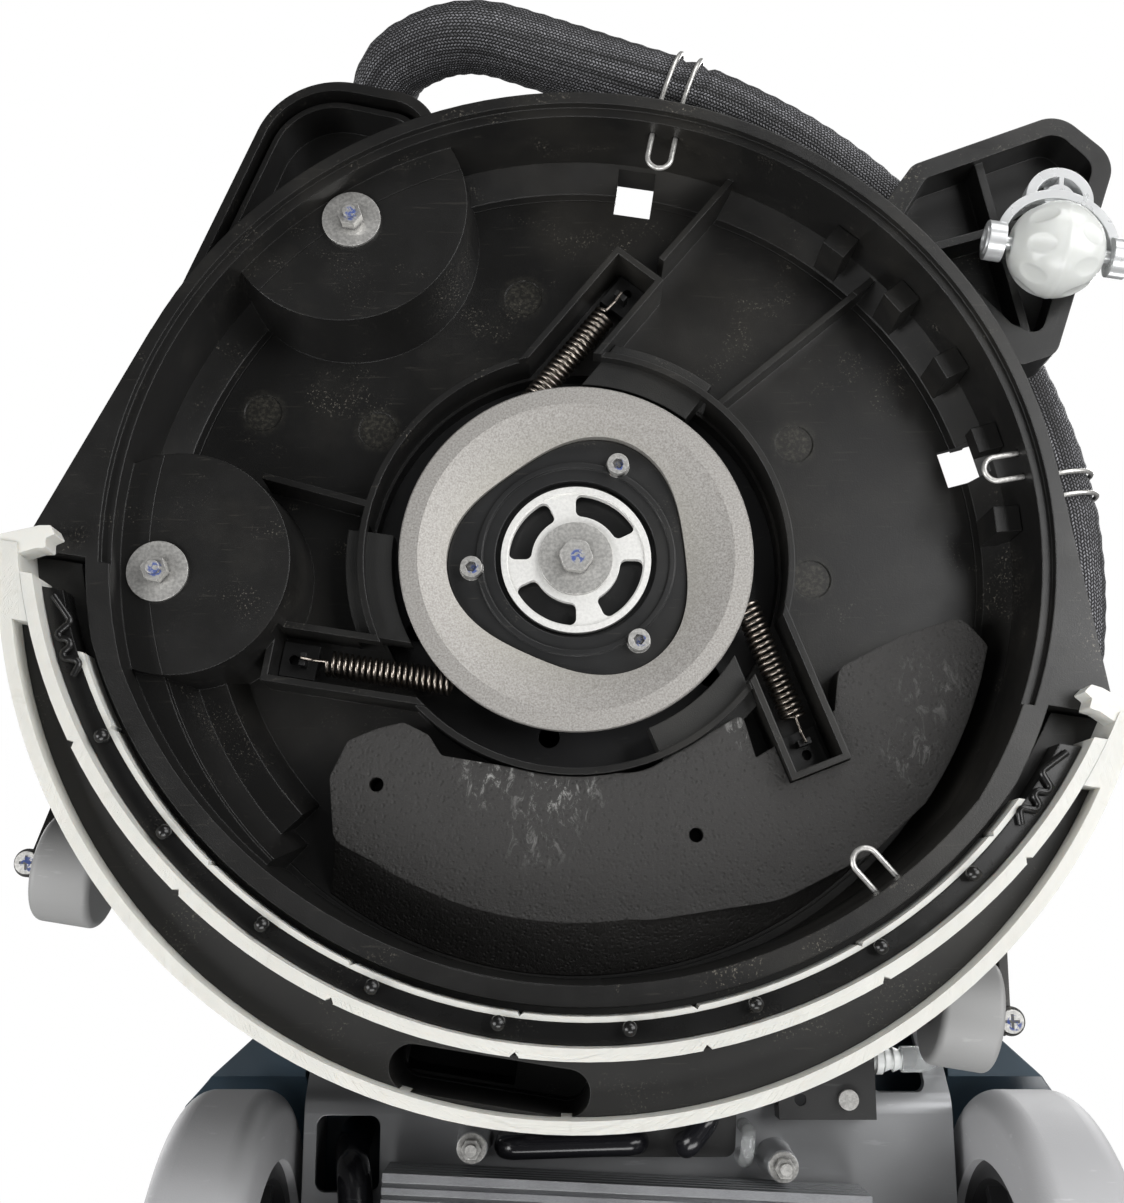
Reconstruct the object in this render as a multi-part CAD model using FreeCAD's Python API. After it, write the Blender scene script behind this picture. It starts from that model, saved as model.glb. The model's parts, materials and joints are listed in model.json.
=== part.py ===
import FreeCAD, Part
import math
import os

V = FreeCAD.Vector
X_AXIS = V(1, 0, 0)
Y_AXIS = V(0, 1, 0)
Z_AXIS = V(0, 0, 1)

# ---- driving dimensions, mm. Working frame: hub axis at x = y = 0, floor at z = 0, front is -y ----
DECK_YAW = 8.9            # the deck rests turned this far from straight ahead, degrees
DECK_R = 210.0            # outer radius of the round deck
CAVITY_R = 200.0          # radius of the hollow under the deck
LIP_R = 204.5
RIM_Z = 14.0
CEILING_Z = 74.0
DECK_TOP_Z = 78.0
SQ_OFFSET = -25.0         # centre of the squeegee's inner arcs, behind or ahead of the hub
SQ_FRONT_Y = 44.0         # the squeegee starts behind this line
SQ_TOP_Z = 24.0           # underside of the squeegee body, blades hang below it
SQ_OUTER_R = 243.2
OUTER_BLADE_R = 237.0     # inner face of the outer blade
INNER_BLADE_R = 240.0     # outer face of the inner blade, about the offset centre
INNER_START_Y = 56.0
TIP_Y = 76.0              # the two blades are joined ahead of this line
TURRET_R = 100.0
TURRET_BORE_R = 95.0
TURRET_TOP_Z = 137.0
RING_R = 80.5             # drive ring
RING_Z = 50.0
HOSE_R = 18.5
HOSE_Z = 97.0
HOSE_RIM_R = 238.0
UNION_Z = 236.0
CHASSIS_X = 25.0          # the chassis centre line stands this far to the side of the hub
WHEEL_R = 100.0
WHEEL_Y = 337.0
WHEEL_W = 41.0
WHEEL_X = (-153.5, 203.5)
AXLE_R = 8.0
RUN = 0.05                # radial running clearance
ROLLER_R = 23.0
ROLLER_W = 26.0
ROLLER_X = 190.5
ROLLER_Y = 172.5
ROLLER_Z = 49.5
BALL = V(195, -169, 25)
BALL_R = 22.0
PAN_Z = 134.0
PAN_HALF = 153.0          # half width of the chassis pan
TANK_BOTTOM_Z = 150.0
TANK_SPLIT_Z = 400.0
TANK_TOP_Z = 600.0
TANK_WALL = 5.0
PIVOT = V(CHASSIS_X, 590, 650)   # handle fold axis
HANDLE_LEAN = 14.0


# ---- helpers ----
def cyl(radius, height, x=0.0, y=0.0, z=0.0, axis=Z_AXIS):
    return Part.makeCylinder(radius, height, V(x, y, z), axis)


def ring(outer, inner, height, x=0.0, y=0.0, z=0.0, axis=Z_AXIS):
    start = V(x, y, z)
    lead = V(axis).multiply(1.0)
    hole = Part.makeCylinder(inner, height + 2.0, start - lead, axis)
    return Part.makeCylinder(outer, height, start, axis).cut(hole)


def block(x0, x1, y0, y1, z0, z1):
    return Part.makeBox(x1 - x0, y1 - y0, z1 - z0, V(x0, y0, z0))


def cone(r0, r1, height, x=0.0, y=0.0, z=0.0, axis=Z_AXIS):
    return Part.makeCone(r0, r1, height, V(x, y, z), axis)


def fuse(shapes):
    body = shapes[0]
    if len(shapes) > 1:
        body = body.fuse(shapes[1:])
    return body.removeSplitter()


def cut(body, tools):
    return body.cut(Part.makeCompound(tools)) if len(tools) > 1 else body.cut(tools[0])


def turned(shape, angle, base=V(0, 0, 0), axis=Z_AXIS):
    moved = shape.copy()
    moved.rotate(base, axis, angle)
    return moved


def shifted(shape, x, y, z):
    moved = shape.copy()
    moved.translate(V(x, y, z))
    return moved


def rounded_edges(points, radii, closed):
    """Straight runs between the points, joined by tangent arcs of the given radii."""
    count = len(points)
    tangents = []
    for i in range(count):
        radius = radii[i] if isinstance(radii, (list, tuple)) else radii
        if not closed and i in (0, count - 1):
            tangents.append((points[i], None, points[i]))
            continue
        here = points[i]
        to_before = (points[i - 1] - here).normalize()
        to_after = (points[(i + 1) % count] - here).normalize()
        half = to_before.getAngle(to_after) / 2.0
        if radius <= 0 or half > math.pi / 2 - 1e-4:
            tangents.append((here, None, here))
            continue
        reach = radius / math.tan(half)
        inward = (to_before + to_after).normalize()
        middle = here + inward * (radius / math.sin(half) - radius)
        tangents.append((here + to_before * reach, middle, here + to_after * reach))
    edges = []
    last = count if closed else count - 1
    for i in range(count):
        start, middle, end = tangents[i]
        if middle is not None:
            edges.append(Part.Arc(start, middle, end).toShape())
        if i < last:
            follow = tangents[(i + 1) % count][0]
            if end.distanceToPoint(follow) > 1e-4:
                edges.append(Part.makeLine(end, follow))
    return edges


def plate(outline, radii, z0, z1):
    """A flat plate with rounded corners, standing from z0 to z1."""
    points = [V(x, y, z0) for x, y in outline]
    wire = Part.Wire(rounded_edges(points, radii, True))
    return Part.Face(wire).extrude(V(0, 0, z1 - z0))


def side_plate(outline, radii, x0, x1):
    """A plate whose outline is drawn in the y-z plane, standing from x0 to x1."""
    points = [V(x0, y, z) for y, z in outline]
    wire = Part.Wire(rounded_edges(points, radii, True))
    return Part.Face(wire).extrude(V(x1 - x0, 0, 0))


def pipe(edges, radius):
    """A round bar of the given radius along a smooth run of edges."""
    spine = Part.Wire(edges)
    first = edges[0]
    start = first.valueAt(first.FirstParameter)
    heading = first.tangentAt(first.FirstParameter)
    profile = Part.Wire(Part.makeCircle(radius, start, heading))
    return spine.makePipeShell([profile], True, True)


def wire_bar(points, radii, radius):
    return pipe(rounded_edges([V(*p) for p in points], radii, False), radius)


def polar(radius, angle):
    return (radius * math.cos(math.radians(angle)), radius * math.sin(math.radians(angle)))


def around_front(radius, angle):
    """A point on the deck at this clockwise angle from its front, seen from below."""
    return (radius * math.sin(math.radians(angle)), -radius * math.cos(math.radians(angle)))


def hex_bar(flats, height, x, y, z, axis=Z_AXIS):
    corner = flats / math.sqrt(3.0)
    points = [V(corner * math.cos(math.radians(60 * k)), corner * math.sin(math.radians(60 * k)), 0)
              for k in range(6)]
    prism = Part.Face(Part.makePolygon(points + points[:1])).extrude(V(0, 0, height))
    prism.Placement = FreeCAD.Placement(V(x, y, z), FreeCAD.Rotation(Z_AXIS, axis))
    return prism


# ---- deck housing and what is fixed to it (deck frame) ----
SPRING_HOOK_R = 130.0
SPRING_LEAN = 30.0
SPRING_RUN = 75.0
SPRING_Z = 63.0
SPRING_ANGLES = (0.0, 120.0, -120.0)
PAD_1 = (-131.0, -143.0)
PAD_2 = (-172.0, 36.0)
WASHER_1 = (-126.2, -136.0)
WASHER_2 = (-178.7, 41.4)
PAD_Z = 30.0
CLIP_ANGLES = (3.0, 71.0, 130.0)
CLIP_Z = 28.0
CLIP_HALF = 5.5
RUBBER_ANGLES = (158.5, 38.5, -81.5)
WINDOW_ANGLES = (0.0, 66.0)


def in_spring_frame(shape, angle):
    """Places a shape drawn with the hook at the origin and the spring along +x."""
    placed = turned(shape, 90.0 + SPRING_LEAN)
    placed.translate(V(0, -SPRING_HOOK_R, 0))
    return turned(placed, angle)


def deck_hollow():
    drum = cyl(CAVITY_R, 46, z=RIM_Z - 1).fuse(cone(CAVITY_R, CAVITY_R - 9, 15.0, z=59))
    rear = cyl(212.0, 80, y=SQ_OFFSET, z=RIM_Z - 2)
    return drum.common(rear)


def deck_shell():
    drum = cyl(DECK_R, DECK_TOP_Z - RIM_Z, z=RIM_Z)
    wings = []
    for side in (-1, 1):
        outline = [(side * 150, 43), (side * 150, -63.2), (side * 200.4, -63.2), (side * 233.6, 43)]
        wings.append(Part.Face(Part.makePolygon([V(x, y, RIM_Z) for x, y in outline + outline[:1]]))
                     .extrude(V(0, 0, 46)))
    shell = drum.fuse(wings)
    rear_limit = cyl(220.5, 90, y=SQ_OFFSET, z=RIM_Z - 5).fuse(block(-260, 260, -260, SQ_FRONT_Y, 0, 100))
    shell = shell.common(rear_limit)
    shell = shell.cut(deck_hollow())
    return shell.cut(cyl(LIP_R, 5, z=RIM_Z - 1).common(block(-260, 260, -260, SQ_FRONT_Y, 0, 100)))


def spring_pocket_wall(angle):
    outer = block(-17, 66, -14, 14, 48, CEILING_Z + 1)
    return in_spring_frame(outer, angle)


def spring_pocket_space(angle):
    return in_spring_frame(block(-14, 80, -11, 11, 40, CEILING_Z), angle)


def thin_rib(x0, y0, x1, y1, z0):
    length = math.hypot(x1 - x0, y1 - y0)
    rib = block(0, length, -1.5, 1.5, z0, CEILING_Z + 1)
    rib.rotate(V(0, 0, 0), Z_AXIS, math.degrees(math.atan2(y1 - y0, x1 - x0)))
    return shifted(rib, x0, y0, 0)


def rim_castle():
    """The stepped pocket row inside the rim at the front right."""
    teeth = []
    for k in range(5):
        angle = -59.0 + 11.5 * k
        tooth = block(188, 199.5, -6, 6, 40, 66)
        teeth.append(turned(tooth, angle))
    return teeth


def rear_left_wall():
    """The thick moulded wall that swells along the rim at the rear left, with a soft step in front of it."""
    deep = cone(CAVITY_R + 2 - 14, CAVITY_R + 2 - 26, CEILING_Z - 33, z=34)
    band = ring(CAVITY_R + 3, 150, CEILING_Z - 33, z=34).cut(deep)
    low = ring(CAVITY_R + 3, 150, CEILING_Z - 59, z=60).cut(cone(168, 160, CEILING_Z - 59, z=60))
    sector = plate([(0, 0), (-170, 250), (-300, 250), (-300, 80)], [0] * 4, 20, 80)
    inner = plate([(0, 0), (-190, 250), (-300, 250), (-300, 60)], [0] * 4, 20, 80)
    return [band.common(sector), low.common(inner)]


def hollow_features():
    """Everything moulded onto the ceiling inside the hollow."""
    space = cyl(CAVITY_R + 2, CEILING_Z + 1 - 20, z=20).common(cyl(214.0, 80, y=SQ_OFFSET, z=15))
    raised = []
    raised.append(cone(57, 60, CEILING_Z + 1 - PAD_Z, PAD_1[0], PAD_1[1], PAD_Z))
    raised.append(cone(50, 53, CEILING_Z + 1 - PAD_Z, PAD_2[0], PAD_2[1], PAD_Z))
    raised.append(thin_rib(56, -213, 18, -149, 50))
    raised.append(thin_rib(131, -172, 53, -83, 60))
    raised.append(thin_rib(-148, -15, -87, -8, 52))
    raised += rim_castle()
    raised += rear_left_wall()
    raised.append(ring(99.5, 96.5, CEILING_Z + 1 - 52, z=52))
    raised += [spring_pocket_wall(a) for a in SPRING_ANGLES]
    trimmed = [piece.common(space) for piece in raised]
    solid = trimmed[0].fuse(trimmed[1:])
    spaces = [spring_pocket_space(a) for a in SPRING_ANGLES]
    spaces.append(cyl(96.5, 60, z=20))
    spaces += [turned(pad_sector(0.6, 2.0), a) for a in RUBBER_ANGLES]
    return solid.cut(Part.makeCompound(spaces))


def deck_windows():
    holes = []
    for angle in WINDOW_ANGLES:
        hole = block(-9, 9, -198.5, -181.0, 50, 90)
        holes.append(turned(hole, angle))
    return holes


def clip_holes():
    holes = []
    for angle in CLIP_ANGLES:
        for side in (-CLIP_HALF, CLIP_HALF):
            hole = cyl(1.7, 50, side, -230, CLIP_Z, Y_AXIS)
            holes.append(turned(hole, angle))
    return holes


def ejector_marks():
    marks = []
    for x, y in ((-160, -52), (-104, -52), (-46, -130), (94, -76), (110, -11)):
        marks.append(cyl(9.0, 1.0, x, y, CEILING_Z - 0.4))
    return marks


def turret():
    wall = ring(TURRET_R, TURRET_BORE_R, TURRET_TOP_Z - DECK_TOP_Z + 0.5, z=DECK_TOP_Z - 0.5)
    foot = cone(116, TURRET_R, 14, z=DECK_TOP_Z - 0.5).cut(cyl(TURRET_BORE_R, 30, z=DECK_TOP_Z - 5))
    return wall.fuse(foot)


def deck_top_bead():
    """Raised beads that stiffen the deck's upper face."""
    bead = ring(196, 190, 3.5, z=DECK_TOP_Z - 0.5)
    spokes = []
    for k in range(8):
        spoke = block(112, 193, -2.5, 2.5, DECK_TOP_Z - 0.5, DECK_TOP_Z + 3)
        spokes.append(turned(spoke, 22.5 + 45 * k))
    return bead.fuse(spokes).common(cyl(219, 90, y=SQ_OFFSET, z=RIM_Z))


def deck_body():
    body = deck_shell().fuse([hollow_features(), turret(), deck_top_bead()])
    tools = deck_windows() + clip_holes() + ejector_marks()
    tools.append(cyl(TURRET_BORE_R, 80, z=70))
    tools += [cyl(4.1, 60, *spot, PAD_Z - 5) for spot in (WASHER_1, WASHER_2)]
    return cut(body, tools)


SKIRT_R = 187.5                # the deck's wall and rim are one node, all inside this radius another


def deck_skirt():
    return largest(deck_body().cut(cyl(SKIRT_R, 200, z=0)))


def deck_housing():
    return largest(deck_body().common(cyl(SKIRT_R, 200, z=0)))


BALLAST = [(-92, 116), (-87, 99), (-76, 92), (-64, 87), (-52, 91), (-45, 99), (-1, 99.5), (44, 93),
           (84, 60),
           (95, 84), (102, 88), (125, 81), (124, 33), (150, 14), (176, 1), (190, 13), (188, 36), (174, 80),
           (148, 112), (111, 138), (57, 155), (18, 160), (-31, 158), (-67, 149), (-85, 143)]


def ballast_plate():
    body = plate(BALLAST, [6, 5, 4, 4, 3, 3, 60, 30, 3, 3, 3, 3, 8, 20, 8, 8, 12, 40, 40, 40, 40, 40,
                           30, 12, 8],
                 54.0, CEILING_Z)
    wide = plate([(-84, 118), (-30, 105), (60, 105), (176, 10), (210, 10), (210, 120), (120, 210),
                  (-86, 210)],
                 [6] * 8, 54.0, CEILING_Z)
    body = body.fuse(wide.common(cone(163.0, 186.0, CEILING_Z - 54.0, z=54.0))).removeSplitter()
    keep = [in_spring_frame(block(-17.5, 66.5, -14.5, 14.5, 40, 90), a) for a in SPRING_ANGLES]
    keep += [turned(pad_sector(1.0, 1.5), a) for a in RUBBER_ANGLES]
    body = body.cut(Part.makeCompound(keep)).cut(cyl(100.2, 60, z=40)).common(cyl(189.5, 60, z=40))
    holes = [cyl(3.2, 40, side * 71, 116, 45) for side in (-1, 1)]
    return largest(cut(body, holes))


def largest(shape):
    return max(shape.Solids, key=lambda s: s.Volume)


def pad_sector(gap, spread):
    """One arc-shaped pad beside the drive ring, grown by a gap for the space it needs."""
    pad = ring(105.5 + gap, 84.5 - gap, 15.8, z=58).common(block(0, 120, -120, 120, 50, 80))
    half = 20.0 + spread
    lower = turned(block(0, 130, -130, 0, 50, 80), -half)
    upper = turned(block(0, 130, 0, 130, 50, 80), half)
    return pad.cut(lower).cut(upper)


def rubber_pads():
    pads = []
    pockets = [in_spring_frame(block(-20, 90, -14.4, 14.4, 40, 90), a) for a in SPRING_ANGLES]
    for angle in RUBBER_ANGLES:
        pad = turned(pad_sector(0.0, 0.0), angle).cut(Part.makeCompound(pockets))
        pads.append(largest(pad))
    return pads


def spring_hook_plates():
    plates = []
    for angle in SPRING_ANGLES:
        slab = block(-13.7, 3.0, -8, 8, 68, CEILING_Z - 0.05).cut(cyl(2.2, 20, -8, 0, 60))
        post = block(-4.0, -1.2, -3, 3, 60.0, 68.5)
        plates.append(in_spring_frame(slab.fuse(post), angle))
    return plates


def tension_spring():
    """Coil drawn with its hook at the origin and its length along +x."""
    coil_r = 5.2
    wire_r = 0.85
    pitch = 2.75
    turns = 21
    helix = Part.makeHelix(pitch, pitch * turns, coil_r)
    start = V(coil_r, 0, 0)
    tangent = V(0, 2 * math.pi * coil_r, pitch)
    profile = Part.Wire(Part.makeCircle(wire_r, start, tangent))
    coil = Part.Wire(helix.Edges).makePipeShell([profile], True, True)
    coil.rotate(V(0, 0, 0), Y_AXIS, 90)
    coil.translate(V(9, 0, SPRING_Z))
    return coil


def springs():
    coils = []
    eyes = []
    for angle in SPRING_ANGLES:
        coils.append(in_spring_frame(tension_spring(), angle))
        hook = wire_bar([(9, 0, SPRING_Z - 5.2), (2, 0, SPRING_Z - 3.2), (-3.2, 0, SPRING_Z - 5.5)],
                        [0, 3, 0], 0.85)
        eyes.append(in_spring_frame(hook, angle))
        tail = wire_bar([(67.6, 0, SPRING_Z + 5.0), (72.5, 0, SPRING_Z + 1.5)], [0, 0], 0.85)
        eyes.append(in_spring_frame(tail, angle))
    return coils + eyes


def fender_washers():
    parts = []
    for x, y in (WASHER_1, WASHER_2):
        parts.append(ring(13.5, 4.2, 1.8, x, y, PAD_Z - 1.8))
    return parts


def pivot_bolts():
    parts = []
    for x, y in (WASHER_1, WASHER_2):
        nut = hex_bar(10.0, 6.0, x, y, PAD_Z - 7.8)
        shank = cyl(3.0, DECK_TOP_Z + 5 - PAD_Z + 10, x, y, PAD_Z - 10)
        head = cyl(8.0, 4.0, x, y, DECK_TOP_Z + 3.6)
        parts.append(fuse([nut, shank, head]))
    return parts


def hose_guide_cover():
    """Low round-nosed cover on the deck's upper face, with a second rim inside its skirt."""
    outline = [(-96, -190), (-106, -223), (-181, -227), (-211, -95), (-190, -20), (-120, -60)]
    outer = plate(outline, [10, 26, 42, 20, 20, 20], DECK_TOP_Z + 3.6, 96.0)
    inset = [(-101, -188), (-110, -218), (-178, -222), (-206, -96), (-187, -30), (-124, -64)]
    inner = plate(inset, [6, 21, 37, 15, 15, 15], DECK_TOP_Z + 1, 91.0)
    skirt = plate(outline, [10, 26, 42, 20, 20, 20], 62.0, DECK_TOP_Z + 5)
    skirt = skirt.cut(plate(inset, [6, 21, 37, 15, 15, 15], 60.0, DECK_TOP_Z + 6))
    rim_outline = [(-103, -187), (-112, -215), (-176, -219), (-204, -96), (-187, -30), (-124, -64)]
    rim_inset = [(-106, -185), (-114, -212), (-174, -216), (-201, -96), (-185, -35), (-127, -66)]
    rim = plate(rim_outline, [5, 19, 34, 13, 13, 13], 68.0, 92.0)
    rim = rim.cut(plate(rim_inset, [4, 17, 31, 11, 11, 11], 60.0, 95.0))
    tie = plate(inset, [6, 21, 37, 15, 15, 15], DECK_TOP_Z + 4, 92.0)
    tie = tie.cut(plate(rim_inset, [4, 17, 31, 11, 11, 11], 60.0, 95.0))
    walls = skirt.fuse([rim, tie]).cut(cyl(DECK_R + 0.4, DECK_TOP_Z + 3.6 - 50, z=50))
    walls = walls.cut(block(-260, 260, -90, 60, 0, DECK_TOP_Z + 3.6))
    cover = outer.cut(inner).fuse(walls)
    cover = cover.cut(cyl(8.6, 60, WASHER_1[0], WASHER_1[1], 60))
    return largest(cover.removeSplitter())


def guide_arm():
    """Ribbed triangular arm that carries the wall ball at the front right."""
    outline = [(112, -178.5), (130, -214), (197, -252), (226, -232), (206, -128), (190, -120)]
    slab = plate(outline, [4, 10, 16, 16, 10, 4], 66.0, 71.0)
    inner = [(128, -186), (137, -208), (197, -242), (216, -228), (198, -136), (184, -140)]
    border = plate(outline, [4, 10, 16, 16, 10, 4], 46.0,
                   67.0).cut(plate(inner, [3, 6, 10, 10, 6, 3], 44.0, 68.0))
    ribs = [block(-2, 2, -60, 60, 50, 67), block(-2, 2, -60, 60, 50, 67)]
    ribs[0] = shifted(turned(ribs[0], 65), 168, -186, 0)
    ribs[1] = shifted(turned(ribs[1], -20), 178, -178, 0)
    web = fuse([r.common(plate(inner, [3, 6, 10, 10, 6, 3], 44.0, 68.0)) for r in ribs])
    boss = cyl(9.0, 20, BALL.x, BALL.y - 37, 48)
    arm = slab.fuse([border, web, boss])
    arm = arm.cut(cyl(DECK_R + 0.02, 80, z=20))
    arm = arm.cut(cyl(6.05, 12, BALL.x, BALL.y - 37, 40))
    return arm.removeSplitter()


FORK_R = 28.5                  # outer radius of the fork's arch round the ball
FORK_GAP_R = 24.3
FORK_LOOP_R = 15.5             # the half ring on top of the arch
FORK_LOOP_Y = -26.0            # its centre, ahead of the ball's
FORK_STEM_Y = -37.0


def ahead_of(shape, y):
    """The part of a shape in front of a line across the deck."""
    return shape.common(block(-400, 400, y - 200, y, -100, 300))


def guide_fork():
    """Grey fork: an arch over the ball, a boss each side of it and a webbed half ring on top."""
    x, y, z = BALL
    loop_y = y + FORK_LOOP_Y
    arch = ahead_of(ring(FORK_R, FORK_GAP_R, 11, x, y, z - 3), y)
    loop = ahead_of(ring(FORK_LOOP_R, 10.8, 8, x, loop_y, z), loop_y + 4)
    dome = ahead_of(cyl(7.0, 8, x, loop_y, z), loop_y + 4)
    web = block(x - 1.1, x + 1.1, loop_y - FORK_LOOP_R + 2, loop_y, z, z + 7)
    solids = [loop, dome, web, cyl(6.0, 44 - z, x, y + FORK_STEM_Y, z + 8)]
    for side in (-1, 1):
        inner = x + side * FORK_GAP_R
        outer = x + side * (FORK_R + 3.5)
        boss = cyl(9.0, abs(outer - inner), min(inner, outer), y, z, X_AXIS)
        cap = ring(6.4, 4.6, 0.8, max(inner, outer) if side > 0 else min(inner, outer) - 0.8, y, z, X_AXIS)
        stub = cyl(3.0, 8.3, inner - (8.3 if side > 0 else 0.0), y, z, X_AXIS)
        solids += [boss, cap, stub]
    clear = Part.makeSphere(BALL_R + 1.0, BALL)
    arch = arch.fuse(solids[:3]).cut(clear)
    return arch.fuse(solids[3:]).removeSplitter()


def guide_ball():
    x, y, z = BALL
    ball = Part.makeSphere(BALL_R, BALL)
    ball = ball.common(block(x - 21, x + 21, y - 40, y + 40, z - 40, z + 40))
    bores = [cyl(3.0 + RUN, 9.0, x - 24, y, z, X_AXIS), cyl(3.0 + RUN, 9.0, x + 15, y, z, X_AXIS)]
    dimples = []
    for k in range(12):
        for side in (-1, 1):
            centre = V(side * 10.0, 24.6 * math.cos(math.radians(30 * k)),
                       24.6 * math.sin(math.radians(30 * k)))
            dimples.append(Part.makeSphere(6.0, BALL + centre))
    groove = ring(30, BALL_R - 0.8, 0.8, x - 0.4, y, z, X_AXIS)
    return cut(ball, bores + dimples + [groove])


# ---- squeegee (deck frame) ----
def behind(shape):
    return shape.common(block(-300, 300, SQ_FRONT_Y, 300, -10, 200))


def arc_band(outer, inner, y, z0, z1):
    return behind(ring(outer, inner, z1 - z0, 0, y, z0))


def roller_spaces(gap):
    """The two rollers' shapes grown by a gap."""
    return [cyl(ROLLER_R + gap, ROLLER_W + 2 * gap, side * ROLLER_X - ROLLER_W / 2 - gap, ROLLER_Y, ROLLER_Z,
                X_AXIS) for side in (-1, 1)]


def squeegee_body():
    crescent = behind(cyl(SQ_OUTER_R, 36, z=SQ_TOP_Z)).cut(cyl(221.0, 80, y=SQ_OFFSET))
    lip = arc_band(SQ_OUTER_R, 242.2, 0.0, 7.0, SQ_TOP_Z + 1)
    top_step = behind(cyl(238.0, 10, z=54)).cut(cyl(226.0, 80, y=SQ_OFFSET))
    gap_floor = behind(cyl(OUTER_BLADE_R - 0.1, 14, z=SQ_TOP_Z - 12))
    gap_floor = gap_floor.cut(cyl(INNER_BLADE_R + 0.1, 80, y=SQ_OFFSET)).cut(block(-300, 300, 0, TIP_Y + 0.1, 0, 60))
    body = crescent.fuse([lip, top_step, gap_floor])
    slot = plate([(-40, 217), (40, 217), (40, 235), (-40, 235)], [8.9, 8.9, 8.9, 8.9], 10.0, 90.0)
    above = block(-260, 260, 0, 300, SQ_TOP_Z, 90)
    room = roller_spaces(3.0)
    for side in (-1, 1):
        room.append(cyl(6.6, 60, side * (ROLLER_X - LUG_X), ROLLER_Y, SQ_TOP_Z))
        room.append(cyl(5.0, 44, side * ROLLER_X - 22, ROLLER_Y, ROLLER_Z, X_AXIS))
    return largest(cut(body, [slot] + [space.common(above) for space in room]).removeSplitter())


def outer_blade():
    """Outer rubber blade: it fills the gap to the inner one near each tip, where a torn tab folds inward."""
    band = arc_band(242.0, OUTER_BLADE_R, 0.0, 0.0, SQ_TOP_Z - 0.02)
    fill = behind(cyl(OUTER_BLADE_R + 0.5, SQ_TOP_Z - 0.02)).cut(cyl(INNER_BLADE_R + 0.15, 60, y=SQ_OFFSET, z=-5))
    fill = fill.common(block(-300, 300, 0, TIP_Y, -5, 60))
    torn = [(-18, -3.6), (-13.5, -4.8), (4, -5.5), (4, 5.0), (-10, 4.4), (-14, 5.4), (-15, 1.2), (-19, 0.6)]
    tabs = []
    for side in (-1, 1):
        tab = turned(plate(torn, [0.6, 2, 0, 0, 2, 0.8, 0.8, 0.6], 0.8, 13.6), 24.0)
        tab.translate(V(233, 45.0, 0))
        tab = tab.cut(cyl(300, 60, z=-5).cut(cyl(SQ_OUTER_R - 1.4, 80, z=-8)))
        tabs.append(tab if side > 0 else tab.mirror(V(0, 0, 0), X_AXIS))
    inner_zone = arc_band(INNER_BLADE_R + 0.15, INNER_BLADE_R - 60, SQ_OFFSET, -5.0, 60.0)
    tabs = [tab.cut(inner_zone.cut(block(-300, 300, 0, INNER_START_Y - 0.1, -10, 70))) for tab in tabs]
    return band.fuse([fill] + tabs).removeSplitter()


NOTCH_ANGLES = (34.0, 52.0, 70.0, 88.0, 106.0, 124.0, 142.0)


def notches(radius, size):
    """Small cuts across a band's inner edge."""
    cuts = []
    for angle in NOTCH_ANGLES:
        tooth = turned(block(-size, size, -size, size, -5, 60), angle + 45.0)
        cuts.append(shifted(tooth, *polar(radius, angle), 0).translated(V(0, SQ_OFFSET, 0)))
    return Part.makeCompound(cuts)


def inner_blade():
    band = arc_band(INNER_BLADE_R, INNER_BLADE_R - 5.0, SQ_OFFSET, 0.0, SQ_TOP_Z - 0.02)
    band = band.cut(block(-300, 300, 0, INNER_START_Y, -5, 60))
    return band.cut(notches(INNER_BLADE_R - 0.2, 1.3))


def blade_strap():
    band = arc_band(INNER_BLADE_R - 5.3, 226.3, SQ_OFFSET, 10.0, SQ_TOP_Z - 0.02)
    band = band.cut(block(-300, 300, 0, INNER_START_Y + 3, 0, 60))
    pegs = []
    for x, y in POSTS:
        pegs.append(cyl(1.9, 5.0, x, y, 6.0))
        pegs.append(Part.makeSphere(3.1, V(x, y, 6.0)))
    return band.fuse(pegs).removeSplitter()


def post_spots():
    spots = []
    for angle in (38.5, 50.5, 64.3, 77.0, 90.0, 103.0, 115.7, 129.5, 141.5):
        x, y = polar(228.6, angle)
        spots.append((x, y + SQ_OFFSET))
    return spots


POSTS = post_spots()


def liner_strip():
    band = arc_band(226.0, 223.8, SQ_OFFSET, 9.6, SQ_TOP_Z - 0.02).cut(block(-300, 300, 0, 84, 0, 60))
    return band.cut(notches(223.7, 1.0))


def end_clips():
    """A serpentine of black plastic near each end of the strap."""
    clips = []
    for side in (-1, 1):
        bends = [(0, 0, 0)]
        for k in range(5):
            bends.append((4.6 if k % 2 else -4.6, 13.0 + 4.4 * k, 0))
        bends.append((0, 36.0, 0))
        bar = wire_bar(bends, [0] + [2.0] * 5 + [0], 1.5)
        bar.translate(V(229.5, -15.5, 8.35))
        bar = turned(bar, 26.2)
        bar.translate(V(0, SQ_OFFSET, 0))
        clips.append(bar if side > 0 else bar.mirror(V(0, 0, 0), X_AXIS))
    return clips


def suction_duct():
    """Hollow box over the squeegee's slot, its port facing the hose."""
    foot = plate([(-44, 213), (44, 213), (44, 238), (-44, 238)], [9, 9, 9, 9], 64.05, 77.0)
    shell = plate([(-50, 199), (13.1, 199), (13.1, 238), (-50, 238)], [14, 3, 3, 14], 70.0, 116.2)
    throat = plate([(-40, 217), (40, 217), (40, 234.5), (-40, 234.5)], [8.5, 8.5, 8.5, 8.5], 60.0, 73.5)
    hollow = plate([(-46, 203), (9.1, 203), (9.1, 234), (-46, 234)], [11, 3, 3, 11], 74.0, 112.2)
    link = block(-38, 9, 218, 233, 70, 80)
    port = cyl(14.0, 12, 6, 218.5, HOSE_Z, X_AXIS)
    return foot.fuse(shell).cut(Part.makeCompound([throat.fuse([hollow, link, port])])).removeSplitter()


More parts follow.
